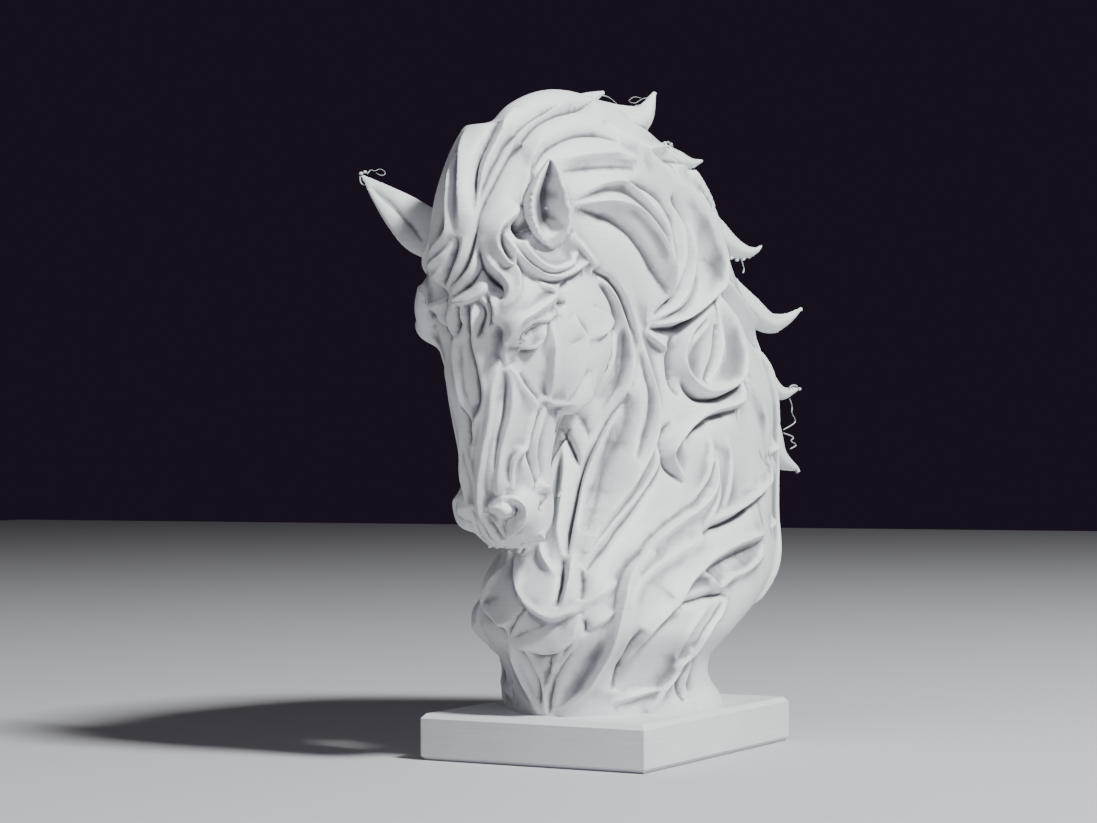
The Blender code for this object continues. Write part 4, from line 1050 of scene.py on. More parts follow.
@dataclass
class Carver:
    """Lays strokes on a skin and raises or sinks it along them.

    Args:
        step: the pixels between two points of a course that is given by pixels.
        fewest: the fewest points that such a course is drawn with.
        nearby: the points of a course that is given near the skin.
        shortest: the fewest points that a part between two leaps needs.
        leap: a longer distance than this between two points is a leap to another form.
        rounding: the radius of a ridge's crest.
        pit: a groove deeper than this has steep sides, by pit_power.
        pit_power: what the distance is raised to in such a groove.
        broad: a fall-off wider than this is an even slope, even_reach times as wide.
        even_reach: how many fall-offs such a slope takes.
        ramp: the length in which a stroke reaches its full height.
        ramp_growth: what the ramp gains for each unit of the wider fall-off.
        ramp_share: the most that a ramp takes of its stroke's length.
        ramp_power: below 1 the ramp is steeper at the stroke's end.
        slope: the least fall-off, as a share of the height.
        reach: how many fall-offs away from its course a stroke is worked out.
        faces_from: vertices facing less the stroke's way than this stay.
        faces_over: the span above it in which the carving comes in.
        crease_reach: how far from the course the crease is deepest, in narrow fall-offs.
        lock_reach: how far from a free lock it is spared, in its greatest half width.
        lock_edge: where round the lock the sparing ends, in half widths.
        lock_least: the half width that the thinnest end counts as.
        clear_from: the share of a free lock that is carved like the body.
        clear_over: the share after it in which the carving goes out.
    """

    step: float = 1.2
    fewest: int = 8
    nearby: int = 120
    shortest: int = 4
    leap: float = 4.0
    rounding: float = 0.32
    pit: float = -2.9
    pit_power: float = 2.0
    broad: float = 2.95
    even_reach: float = 2.0
    ramp: float = 5.0
    ramp_growth: float = 2.0
    ramp_share: float = 0.35
    ramp_power: float = 0.7
    slope: float = 0.40
    reach: float = 4.0
    faces_from: float = 0.1
    faces_over: float = 0.3
    crease_reach: float = 1.7
    lock_reach: float = 2.0
    lock_edge: float = 1.9
    lock_least: float = 0.8
    clear_from: float = 0.2
    clear_over: float = 0.2
    laid: list[LaidStroke] = field(default_factory=list)
    spared: list[tuple[np.ndarray, np.ndarray]] = field(default_factory=list)

    def unbroken(self, points: np.ndarray, outward: np.ndarray) -> list[tuple[np.ndarray, np.ndarray]]:
        """Parts a course where it leaps from one form to another.

        Args:
            points: the course.
            outward: the skin's normal at each point.

        Returns:
            The points and normals of each part that is long enough.
        """
        if len(points) < self.shortest:
            return []
        leaps = np.flatnonzero(np.linalg.norm(np.diff(points, axis=0), axis=1) > self.leap) + 1
        parts = zip(np.split(points, leaps), np.split(outward, leaps))
        return [part for part in parts if len(part[0]) >= self.shortest]

    def lay_sighted(self, surface: Surface, group: StrokeGroup) -> None:
        """Lays strokes that are given by pixels, and their twins.

        Args:
            surface: the skin.
            group: the strokes.
        """
        for stroke in group.strokes:
            length = np.linalg.norm(np.diff(stroke.points, axis=0), axis=1).sum()
            flow = smooth_curve(stroke.points, max(self.fewest, round(length / self.step)))
            for points, outward in self.unbroken(*surface.traced(flow)):
                self.laid.append(LaidStroke(stroke, points, outward, group.relief))
                if group.twin is not Twin.NONE:
                    there = surface.settled(other_side(points, group.twin.turn))
                    self.laid.append(LaidStroke(stroke, *there, group.relief * group.far, hand=-1))

    def lay_nearby(self, surface: Surface, strokes: Iterable[Stroke], relief: float) -> None:
        """Lays strokes that are given by grid points near the skin, on both sides.

        Args:
            surface: the skin.
            strokes: the strokes.
            relief: what their heights are multiplied by.
        """
        for stroke in strokes:
            flow = smooth_curve(stroke.points, self.nearby)
            self.laid.append(LaidStroke(stroke, *surface.settled(flow), relief))
            self.laid.append(LaidStroke(stroke, *surface.settled(other_side(flow, 0.0)), relief, hand=-1))

    def press(
        self, laid: LaidStroke, spots: np.ndarray, normals: np.ndarray
    ) -> tuple[np.ndarray, np.ndarray, np.ndarray]:
        """Works out one stroke's rise and crease at the vertices near it.

        Args:
            laid: the stroke.
            spots: the mesh's vertices.
            normals: their normals.

        Returns:
            The vertices near it, and its rise and its crease there.
        """
        stroke, points = laid.stroke, laid.points
        wide, narrow = max(stroke.left, stroke.right), min(stroke.left, stroke.right)
        near, nearest, _ = within_reach(points, spots, self.reach * wide)
        gap = spots[near] - points[nearest]
        beside = (gap * laid.leftward[nearest]).sum(axis=1)
        above = (gap * laid.outward[nearest]).sum(axis=1)
        distance = np.sqrt(beside**2 + above**2 + self.rounding**2) - self.rounding
        along = laid.lengths[nearest]
        ramp = min(self.ramp + self.ramp_growth * wide, self.ramp_share * laid.lengths[-1])
        taper = np.clip(np.minimum(along, laid.lengths[-1] - along) / ramp, 0, 1) ** self.ramp_power
        facing = (normals[near] * laid.outward[nearest]).sum(axis=1)
        share = taper * np.clip((facing - self.faces_from) / self.faces_over, 0, 1)
        least = self.slope * abs(stroke.height)
        widths = np.maximum(np.where(beside > 0, stroke.left, stroke.right), least)
        power = self.pit_power if stroke.height < self.pit else 1.0
        profile = np.exp(-((distance / widths) ** power))
        even = np.clip(1 - distance / (self.even_reach * widths), 0, 1)
        rise = laid.relief * abs(stroke.height) * share * np.where(widths > self.broad, even, profile)
        spread = distance / (self.crease_reach * narrow)
        steep = (beside > 0) == (stroke.left < stroke.right)
        crease = laid.relief * stroke.undercut() * share * steep * spread * np.exp(1 - spread)
        return near, rise, crease

    def spare(self, points: np.ndarray, halves: np.ndarray, spots: np.ndarray, depth: np.ndarray) -> None:
        """Keeps the carving off the clear end of a lock, so that its edges stay thin.

        Args:
            points: the lock's middle line.
            halves: its half width at each point.
            spots: the mesh's vertices.
            depth: how far each is to be moved, which is lessened near the lock.
        """
        near, nearest, distance = within_reach(points, spots, self.lock_reach * halves.max())
        thickness = np.maximum(halves[nearest], self.lock_least)
        close = np.clip(self.lock_edge - distance / thickness, 0, 1)
        clear = np.clip((nearest / len(points) - self.clear_from) / self.clear_over, 0, 1)
        depth[near] *= 1 - close * clear

    def carve(self, mesh: bpy.types.Mesh) -> None:
        """Raises or sinks a mesh along every laid stroke, with a sharp edge on each.

        Args:
            mesh: the mesh.
        """
        spots, normals = vertex_rows(mesh)
        raised, sunk = np.zeros(len(spots)), np.zeros(len(spots))
        for laid in self.laid:
            near, rise, crease = self.press(laid, spots, normals)
            if laid.stroke.height > 0:
                raised[near] += rise**2
                sunk[near] += crease**2
            else:
                sunk[near] += rise**2
        depth = np.sqrt(raised) - np.sqrt(sunk)
        for points, halves in self.spared:
            self.spare(points, halves, spots, depth)
        spots += normals * depth[:, None]
        mesh.vertices.foreach_set("co", spots.ravel())
        mesh.update()


def strand(clay: Clay, points: np.ndarray, outward: Point, halves: np.ndarray, around: int) -> None:
    """Adds a strand whose section has a peaked outer side and a round inner one.

    Args:
        clay: the clay that it is added to.
        points: its middle line.
        outward: the way its peaked side faces.
        halves: its half width at each point.
        around: how many points each of its rings has.
    """
    way = unit(np.gradient(points, axis=0))
    side = unit(np.cross(way, outward))
    out = np.cross(side, way)
    rings = []
    for p, s, o, half in zip(points, side, out, halves):
        ring = []
        for k in range(around):
            phi = 2 * math.pi * k / around
            u, v = math.cos(phi), math.sin(phi)
            rise = (1 - abs(u)) ** STRAND_PEAK if v > 0 else -STRAND_BACK * abs(v)
            ring.append(p + s * half * u + o * half * STRAND_THICKNESS * rise)
        rings.append(ring)
    clay.tube(rings)


@dataclass
class Ear:
    """A cupped ear like a leaf, with a crease down the middle of its cup.

    Args:
        course: pixel x, pixel y, distance to the left and half width, by turns, from root to tip.
        facing: the way the cup opens.
        root: the share of its length that is solid.
        teeth: the depth of the ragged layers along its rims.
        wall: its thickness at the rims.
        wrap: the angle by which its sides bend on round the cup.
        depth: its depth behind, in half widths.
        hollow: the cup's depth, in half widths.
        steps: how many rings it has.
        layers: how many ragged layers its length shows.
        outer_points: how many points each ring has outside.
        inner_points: how many points each ring has in the cup.
        opening: the share of its length in which the cup opens.
        teeth_from: the angle from the middle of its back at which the teeth start.
        crease: above 1 the crease in the cup is rounder.
        swell: how far the solid root stands up in the middle.
    """

    course: Sequence[Point]
    facing: Point
    root: float = 0.24
    teeth: float = 0.0
    wall: float = 0.5
    wrap: float = 0.65
    depth: float = 1.1
    hollow: float = 0.9
    steps: int = 96
    layers: int = 28
    outer_points: int = 21
    inner_points: int = 15
    opening: float = 0.07
    teeth_from: float = 1.85
    crease: float = 1.2
    swell: float = 0.15

    def model(self, clay: Clay) -> None:
        """Adds the ear to the clay.

        Args:
            clay: the clay.
        """
        rows = smooth_curve(self.course, self.steps)
        spine = CAMERA.spine(rows)
        way = unit(np.gradient(spine, axis=0))
        side = unit(np.cross(way, unit(self.facing)))
        out = np.cross(side, way)
        arc = np.linspace(-self.wrap, math.pi + self.wrap, self.outer_points)
        across = np.linspace(1.0, -1.0, self.inner_points)
        rings = []
        for k, (p, s, o, half) in enumerate(zip(spine, side, out, rows[:, 3])):
            share = k / (self.steps - 1)
            ragged = self.teeth * (share * self.layers % 1.0) * math.sin(math.pi * share)
            rim = half * math.cos(self.wrap) - min(self.wall, 0.4 * half)
            lip = self.depth * half * math.sin(self.wrap)
            cup = min(1.0, max(0.0, share - self.root) / self.opening)
            ring = []
            for a in arc:
                tooth = ragged if abs(a - math.pi / 2) > self.teeth_from else 0.0
                back = tooth - self.depth * half * math.sin(a)
                ring.append(p - s * (half + 0.5 * tooth) * math.cos(a) + o * back)
            for u in across:
                depth = cup * (lip + self.hollow * half) * (1 - abs(u) ** self.crease)
                front = lip - depth + self.swell * (1 - u * u) * (1 - cup)
                ring.append(p + s * rim * u + o * front)
            rings.append(ring)
        clay.tube(rings)


@dataclass
class FreeLock:
    """A lock that stands clear.

    Args:
        course: pixel x, pixel y, distance to the left and half width, by turns.
        outward: the way its peaked side faces.
        steps: how many rings it has.
        around: how many points each ring has.
    """

    course: Sequence[Point]
    outward: Point = (0.85, -0.5, 0.0)
    steps: int = 34
    around: int = 18

    def model(self, clay: Clay) -> tuple[np.ndarray, np.ndarray]:
        """Adds the lock to the clay.

        Args:
            clay: the clay.

        Returns:
            Its middle line, and its half width at each point.
        """
        flow = smooth_curve(self.course, self.steps)
        points = CAMERA.spine(flow)
        strand(clay, points, unit(self.outward), flow[:, 3], self.around)
        return points, flow[:, 3]


@dataclass
class Stringing:
    """The fine threads and droplets that the printing left at tips and edges.

    Args:
        threads: rows of pixel x, pixel y, distance to the left and radius, by turns.
        droplets: pixel x, pixel y, distance to the left and radius of each.
        outward: the way the threads' peaked side faces.
        steps: how many rings a thread has.
        around: how many points each ring of a thread has.
        bands: how many bands a droplet has from end to end.
        drop_around: how many points each ring of a droplet has.
        squash: a droplet's height as a share of its width.
    """

    threads: Sequence[Sequence[Point]]
    droplets: Sequence[Point]
    outward: Point = (0.3, -0.2, 1.0)
    steps: int = 40
    around: int = 8
    bands: int = 8
    drop_around: int = 12
    squash: float = 0.7

    def mesh(self) -> bpy.types.Mesh:
        """Gives all of it as one mesh on the figure's grid."""
        clay = Clay()
        for course in self.threads:
            flow = smooth_curve(course, self.steps)
            strand(clay, CAMERA.spine(flow), self.outward, flow[:, 3], self.around)
        for px, py, left, radius in self.droplets:
            middle, radii = tuple(CAMERA.sighted(px, py, left)), (radius, radius, radius * self.squash)
            clay.egg(middle, radii, 0.0, self.bands, self.drop_around)
        return clay.mesh("stringing")


# The two ears
EARS = (
    Ear(
        (
            (559.0, 243.0, 9.6, 1.4), (556.0, 238.0, 9.6, 2.4), (551.5, 231.0, 9.8, 3.5),
            (548.0, 223.0, 10.0, 4.3), (546.0, 214.0, 10.0, 4.8), (545.5, 205.0, 10.1, 4.8),
            (546.5, 195.0, 10.2, 4.4), (547.5, 185.0, 10.4, 3.5), (549.0, 175.0, 10.6, 2.5),
            (550.0, 165.0, 10.8, 1.35), (550.0, 157.5, 11.0, 0.25),
        ),
        (0.72, -0.69, 0.0),
        teeth=0.9,
    ),
    Ear(
        (
            (450.2, 255.0, -15.0, 3.3), (428.0, 235.0, -20.8, 5.8), (406.0, 215.1, -26.6, 5.0),
            (384.0, 195.5, -32.4, 3.0), (361.0, 174.5, -38.5, 0.3),
        ),
        (-0.45, 0.75, -0.50),
        wall=0.9,
        wrap=0.4,
        depth=0.32,
        hollow=0.1,
    ),
)

# Locks that stand clear of the body
FREE_LOCKS = (
    FreeLock(((545, 130, 0, 1.6), (562, 113, 0, 2.4), (582, 103, 0, 2.2), (604, 92, 0, 0.5))),
    FreeLock(((545, 125, 2, 3), (585, 117, 3, 4), (620, 124, 4, 4.5), (643, 117, 4, 3), (655, 92, 4, 0.5))),
    FreeLock((
        (615, 150, 4, 3.6), (650, 152.5, 5, 3.3), (678, 160, 6, 2.3), (692, 163, 6, 1.3),
        (703, 160.5, 6, 0.35),
    )),
    FreeLock((
        (640, 170, 7, 3.4), (670, 184, 8, 3.6), (695, 210, 9.5, 3.5), (715, 233, 10.6, 3.7),
        (731, 246, 11.4, 2.9), (746, 251.5, 12.2, 1.7), (756, 250.5, 12.8, 0.9), (762, 245.5, 13, 0.35),
    )),
    FreeLock((
        (700, 258, 10, 3.4), (715, 275, 10.5, 3.5), (733, 292, 11, 3.3), (752, 311, 12, 3.5),
        (770, 323, 13, 2.7), (786, 319.5, 14, 1.6), (797, 312, 14.7, 0.8), (802, 307.5, 15, 0.35),
    )),
    FreeLock(((742, 345, 9, 3.4), (761, 373, 10, 3.3), (780, 392.5, 11, 2.0), (798, 389, 12, 0.5))),
    FreeLock(((745, 385, 8, 4), (764, 418, 9, 4), (778, 455, 10, 3), (799, 470, 11, 0.5))),
    FreeLock(((744, 490, 8, 3.6), (760, 530, 9, 2.8), (774, 557, 9, 0.5))),
    FreeLock(((728, 555, 8, 4), (732, 595, 8, 2.2), (732, 624, 8, 0.5))),
    FreeLock(((690, 615, 8, 3), (700, 630, 8, 2), (711, 640, 8, 0.5))),
)

# Threads, each by pixel x, pixel y, distance to the left and radius, by turns
THREADS = (
    ((600, 95, 0, 0.25), (608, 97, 0.5, 0.08), (616, 103, 1, 0.06), (621, 110, 2, 0.06),
     (626, 119, 3, 0.1)),
    ((651, 97, 4, 0.1), (642, 99, 4, 0.06), (635, 103, 4, 0.05), (629, 101, 4, 0.05),
     (634, 97, 4, 0.05), (641, 98, 4, 0.05)),
    ((652, 104, 4, 0.1), (645, 106, 4, 0.06), (638, 105, 4, 0.05), (631, 108, 4, 0.05)),
    ((367, 174, -37.5, 0.12), (371, 170, -37, 0.08), (375, 171, -36, 0.06), (380, 169, -35.5, 0.06),
     (385, 172, -35, 0.06), (384, 175, -35, 0.06), (380, 175, -35.5, 0.06), (376, 173, -36, 0.06)),
    ((360, 176, -38, 0.2), (361, 183, -38, 0.2), (365, 185, -37.5, 0.16), (367, 183, -37.5, 0.14)),
    ((741, 258, 12, 0.3), (743, 265, 12, 0.2), (744, 269, 12, 0.14), (743, 273, 12, 0.2)),
    ((798, 390, 12, 0.5), (796, 386, 12, 0.4), (791, 386, 12, 0.3), (789, 391, 12, 0.25)),
    ((790, 399, 11.5, 0.25), (792, 406, 11, 0.14), (792, 413, 11, 0.12), (795, 422, 11, 0.14),
     (783, 430, 10.2, 0.16)),
    ((783, 433, 10.2, 0.25), (793, 437, 10.5, 0.2), (791, 441, 10.5, 0.16), (796, 445, 10.5, 0.16),
     (790, 449, 10.5, 0.2)),
    ((790, 462, 10.8, 0.5), (795, 468, 11, 0.4), (797, 473, 11, 0.3)),
    ((565, 486, 2.0, 0.3), (561, 491, 2.0, 0.25), (558, 497, 2.4, 0.2)),
    ((660, 150, 7.5, 0.5), (664, 145, 7.5, 0.35), (668, 142, 7.3, 0.3), (672, 146, 7.3, 0.4)),
)

# Droplets, each by pixel x, pixel y, distance to the left and radius
DROPLETS = (
    (365, 172, -38, 0.45), (361, 173.5, -38.4, 0.5), (665, 143, 7.4, 0.5), (671, 144, 7.4, 0.4),
    (799, 389, 12, 0.6), (793, 388, 12, 0.4), (798, 471, 11, 0.55), (731, 623, 8, 0.8), (711, 640, 8, 0.7),
    (773, 556, 9, 0.8), (490, 546.3, -8.3, 0.5), (497, 546.8, -5.7, 0.55),
    (507, 547.2, -3.2, 0.5), (523, 545, 0.8, 0.45), (529, 543.5, 1.8, 0.4), (749, 257, 12, 0.5),
    (743, 259, 11.8, 0.6), (737, 260, 11.5, 0.5), (731, 258, 11.2, 0.6), (725, 257, 11, 0.5),
    (546.5, 208, 9.1, 0.45), (655, 93.5, 4, 0.4), (603, 93.5, 0, 0.4), (801, 310, 15, 0.4),
)


@dataclass
class Figure:
    """The head, neck and mane.

    Args:
        body_voxel: the face size of the smooth body's skin.
        body_rounds: rounds of smoothing after it.
        skin_voxel: the face size of the skin that is carved.
        skin_rounds: rounds of smoothing before it is carved.
        neck_loft: the neck's rings, the points of each and its squareness.
        head_loft: the same for the head.
        even_factor: how far each round of smoothing after the carving goes.
        even_rounds: how many such rounds there are.
        triangles: how many triangles the carved skin is reduced to.
    """

    body_voxel: float = 0.7
    body_rounds: int = 12
    skin_voxel: float = 0.29
    skin_rounds: int = 4
    neck_loft: tuple[int, int, float] = (70, 56, 0.9)
    head_loft: tuple[int, int, float] = (50, 48, 0.72)
    even_factor: float = 0.35
    even_rounds: int = 2
    triangles: int = 182000

    def section_rings(self, sections: Sequence[Point], count: int, around: int, square: float) -> list:
        """Gives rings between front and back points, pinched towards either.

        Args:
            sections: rows of front and back points, half width and pinches.
            count: how many rings to give.
            around: how many points each ring has.
            square: below 1 is boxier than an ellipse.

        Returns:
            The rings.
        """
        rings = []
        for fy, fz, by, bz, half, pinch_front, pinch_back in smooth_curve(sections, count):
            ring = []
            for k in range(around):
                phi = 2 * math.pi * k / around
                c, s = (math.copysign(abs(v) ** square, v) for v in (math.cos(phi), math.sin(phi)))
                narrow = 1 - pinch_front * max(c, 0) ** 2 - pinch_back * max(-c, 0) ** 2
                y, z = (fy + by) / 2 + c * (fy - by) / 2, (fz + bz) / 2 + c * (fz - bz) / 2
                ring.append((half * s * narrow, y, z))
            rings.append(ring)
        return rings

    def body(self) -> Clay:
        """Gives the smooth body, as clay that already has one skin."""
        clay = Clay()
        clay.tube(self.section_rings(NECK_SECTIONS, *self.neck_loft))
        clay.tube([turned_head(ring) for ring in self.section_rings(HEAD_SECTIONS, *self.head_loft)])
        for side in (-1, 1):
            for middle, radii in HEAD_EGGS:
                centre = turned_head([(middle[0] * side, middle[1], middle[2])])[0]
                clay.egg(tuple(centre), radii, HEAD_TURN)
        return Clay.of(clay.skin(self.body_voxel, self.body_rounds))

    def carver(self, surface: Surface) -> Carver:
        """Lays every stroke of the figure on its skin.

        Args:
            surface: the skin.

        Returns:
            The carver that holds them.
        """
        carver = Carver()
        for group in STROKE_GROUPS:
            carver.lay_sighted(surface, group)
        carver.lay_nearby(surface, BACK_LINES, BACK_RELIEF)
        return carver

    def build(self) -> bpy.types.Mesh:
        """Gives the carved figure on its grid, reduced to its share of triangles."""
        clay = self.body()
        for ear in EARS:
            ear.model(clay)
        locks = [lock.model(clay) for lock in FREE_LOCKS]
        skin = clay.skin(self.skin_voxel, self.skin_rounds)
        LOG.info("skin of %d faces", len(skin.polygons))
        carver = self.carver(Surface(skin))
        carver.spared = locks
        carver.carve(skin)
        LOG.info("%d strokes carved", len(carver.laid))
        whole = linked("figure", skin)
        even = whole.modifiers.new("even", "SMOOTH")
        even.factor = self.even_factor
        even.iterations = self.even_rounds
        fewer = whole.modifiers.new("fewer", "DECIMATE")
        fewer.ratio = min(1.0, self.triangles / (2 * len(skin.polygons)))
        return settled_mesh(whole)


@dataclass
class Plinth:
    """The slab, with chamfered edges above and below.

    Args:
        width: its size from side to side.
        depth: its size from front to back.
        height: its thickness.
        chamfer: how far its upper and lower edges are cut back.
        corner: the radius of its upright corners.
        corner_steps: how many straight pieces each corner has.
    """

    width: float = PLINTH_WIDTH
    depth: float = PLINTH_DEPTH
    height: float = PLINTH_HEIGHT
    chamfer: float = PLINTH_CHAMFER
    corner: float = PLINTH_CORNER
    corner_steps: int = 5

    def ring(self, inset: float, corner: float, level: float) -> list[Point]:
        """Gives the slab's outline at one level.

        Args:
            inset: how far it is drawn in.
            corner: the radius of its corners.
            level: its height.

        Returns:
            The outline's points, in order.
        """
        ring = []
        across, along = self.width / 2 - inset - corner, self.depth / 2 - inset - corner
        for k, (sx, sy) in enumerate(((1, 1), (-1, 1), (-1, -1), (1, -1))):
            for step in range(self.corner_steps + 1):
                angle = math.pi / 2 * (k + step / self.corner_steps)
                x, y = across * sx + corner * math.cos(angle), along * sy + corner * math.sin(angle)
                ring.append((x, y, level))
        return ring

    def build(self) -> bpy.types.Mesh:
        """Gives the slab's mesh."""
        clay = Clay()
        clay.tube([
            self.ring(self.chamfer, self.corner / 2, 0.0),
            self.ring(0.0, self.corner, self.chamfer),
            self.ring(0.0, self.corner, self.height - self.chamfer),
            self.ring(self.chamfer, self.corner / 2, self.height),
        ])
        return clay.mesh("plinth")


class Nodes:
    """A shader node tree, with the few kinds of node that are added to it more than once."""

    def __init__(self, tree: bpy.types.NodeTree) -> None:
        """Keeps the tree."""
        self.tree = tree

    def add(self, kind: str, **inputs: object) -> bpy.types.Node:
        """Adds a node.

        Args:
            kind: its type.
            inputs: for inputs by name, a constant or the output that is linked to it.

        Returns:
            The node.
        """
        node = self.tree.nodes.new(kind)
        for name, value in inputs.items():
            self.give(node.inputs[name], value)
        return node

    def give(self, entry: bpy.types.NodeSocket, value: object) -> None:
        """Links an output to an input, or sets the input to a constant.

        Args:
            entry: the input.
            value: the output or the constant.
        """
        if isinstance(value, bpy.types.NodeSocket):
            self.tree.links.new(value, entry)
        else:
            entry.default_value = value

    def maths(self, operation: str, *values: object) -> bpy.types.NodeSocket:
        """Adds a math node.

        Args:
            operation: what it works out.
            values: an output or a constant for each input, in order.

        Returns:
            Its result.
        """
        node = self.tree.nodes.new("ShaderNodeMath")
        node.operation = operation
        for entry, value in zip(node.inputs, values):
            self.give(entry, value)
        return node.outputs[0]

    def ramp(self, value: bpy.types.NodeSocket, stops: Sequence[tuple[float, Point]]) -> bpy.types.NodeSocket:
        """Adds a colour ramp.

        Args:
            value: what it reads.
            stops: the place and colour of each stop, all between 0 and 1.

        Returns:
            Its colour.
        """
        node = self.tree.nodes.new("ShaderNodeValToRGB")
        elements = node.color_ramp.elements
        for place, colour in stops:
            elements.new(place).color = colour
        elements.remove(elements[0])
        elements.remove(elements[-1])
        self.give(node.inputs[0], value)
        return node.outputs[0]


@dataclass(frozen=True)
class PrintedPlastic:
    """White matte printed plastic with fine layer lines, and painted shade that darkens its creases.

    Args:
        name: the material's name.
        shade: its darker colour.
        bright: its lighter colour.
        tint_stops: where the ramp between the two starts and ends.
        roughness: its middle roughness.
        smoother: how far the roughness goes below it.
        rougher: how far it goes above it.
        layer: the height of a layer, in metres.
        layer_depth: the depth of the lines, in metres.
        wave_share: what the even wave has of the lines' height.
        streak_scale: how fine the streaks are along X, Y and Z.
        streak_detail: how much detail they have.
        cloud_scale: how fine the cloudiness is.
        cloud_detail: how much detail it has.
        mix: what streaks and cloudiness each have of the colour.
        painted_crease_shade: painted shade in the creases, what the colour is multiplied by from a crease to
            a crest.
    """

    name: str = "printed_plastic"
    shade: Point = (0.72, 0.75, 0.745, 1.0)
    bright: Point = (0.80, 0.825, 0.82, 1.0)
    tint_stops: tuple[float, float] = (0.35, 0.65)
    roughness: float = 0.46
    smoother: float = 0.06
    rougher: float = 0.08
    layer: float = 0.0002
    layer_depth: float = 0.00005
    wave_share: float = 0.2
    streak_scale: Point = (55.0, 55.0, 2600.0)
    streak_detail: float = 2.0
    cloud_scale: float = 60.0
    cloud_detail: float = 3.0
    mix: float = 0.5
    # Painted shade: the colour is darkened in the creases, down to 0.15 of itself in the deepest
    painted_crease_shade: tuple[tuple[float, Point], ...] = (
        (0.06, (0.15, 0.14, 0.16, 1.0)),
        (0.30, (0.55, 0.55, 0.57, 1.0)),
        (0.44, (0.86, 0.86, 0.87, 1.0)),
        (0.60, (0.97, 0.97, 0.97, 1.0)),
        (0.85, (1.0, 1.0, 1.0, 1.0)),
    )

    def lines_group(self) -> bpy.types.ShaderNodeTree:
        """Gives the node group that makes layer lines across Object Z."""
        tree = bpy.data.node_groups.new("layer_lines", "ShaderNodeTree")
        for name, way, kind in (
            ("Vector", "INPUT", "NodeSocketVector"),
            ("Pitch", "INPUT", "NodeSocketFloat"),
            ("Height", "OUTPUT", "NodeSocketFloat"),
            ("Streaks", "OUTPUT", "NodeSocketFloat"),
        ):
            tree.interface.new_socket(name, in_out=way, socket_type=kind)
        group = Nodes(tree)
        start = group.add("NodeGroupInput")
        split = group.add("ShaderNodeSeparateXYZ", Vector=start.outputs["Vector"])
        turns = group.maths("DIVIDE", split.outputs["Z"], start.outputs["Pitch"])
        wave = group.maths("SINE", group.maths("MULTIPLY", turns, 2 * math.pi))
        squeeze = group.add("ShaderNodeMapping", Vector=start.outputs["Vector"], Scale=self.streak_scale)
        streaks = group.add(
            "ShaderNodeTexNoise", Vector=squeeze.outputs[0], Scale=1.0, Detail=self.streak_detail
        ).outputs["Fac"]
        height = group.maths("MULTIPLY_ADD", wave, self.wave_share, streaks)
        group.add("NodeGroupOutput", Height=height, Streaks=streaks)
        return tree

    def material(self, hollows: str) -> bpy.types.Material:
        """Gives the finish as a material.

        Args:
            hollows: the attribute that tells creases from crests, which sets the painted shade.

        Returns:
            The material.
        """
        material = bpy.data.materials.new(self.name)
        material.use_nodes = True
        nodes = Nodes(material.node_tree)
        shader = material.node_tree.nodes["Principled BSDF"]
        place = nodes.add("ShaderNodeTexCoord").outputs["Object"]
        lines = nodes.tree.nodes.new("ShaderNodeGroup")
        lines.node_tree = self.lines_group()
        nodes.give(lines.inputs["Pitch"], self.layer)
        nodes.give(lines.inputs["Vector"], place)
        streaks = lines.outputs["Streaks"]
        cloud = nodes.add(
            "ShaderNodeTexNoise", Vector=place, Scale=self.cloud_scale, Detail=self.cloud_detail
        ).outputs["Fac"]
        blend = nodes.maths("MULTIPLY_ADD", streaks, self.mix, nodes.maths("MULTIPLY", cloud, self.mix))
        tint = nodes.ramp(blend, tuple(zip(self.tint_stops, (self.shade, self.bright))))
        # Painted shade: the crease depth stored on the mesh darkens the colour in the creases
        level = nodes.add("ShaderNodeAttribute")
        level.attribute_type = "GEOMETRY"
        level.attribute_name = hollows
        painted_shade_mix = nodes.add("ShaderNodeMix")
        painted_shade_mix.data_type = "RGBA"
        painted_shade_mix.blend_type = "MULTIPLY"
        painted_shade_mix.inputs["Factor"].default_value = 1.0
        nodes.give(painted_shade_mix.inputs[6], tint)
        nodes.give(painted_shade_mix.inputs[7], nodes.ramp(level.outputs["Fac"], self.painted_crease_shade))
        nodes.give(shader.inputs["Base Color"], painted_shade_mix.outputs[2])
        rough = nodes.add("ShaderNodeMapRange", Value=streaks)
        rough.inputs["To Min"].default_value = self.roughness - self.smoother
        rough.inputs["To Max"].default_value = self.roughness + self.rougher
        nodes.give(shader.inputs["Roughness"], rough.outputs[0])
        bump = nodes.add(
            "ShaderNodeBump", Strength=1.0, Distance=self.layer_depth, Height=lines.outputs["Height"]
        )
        nodes.give(shader.inputs["Normal"], bump.outputs[0])
        return material


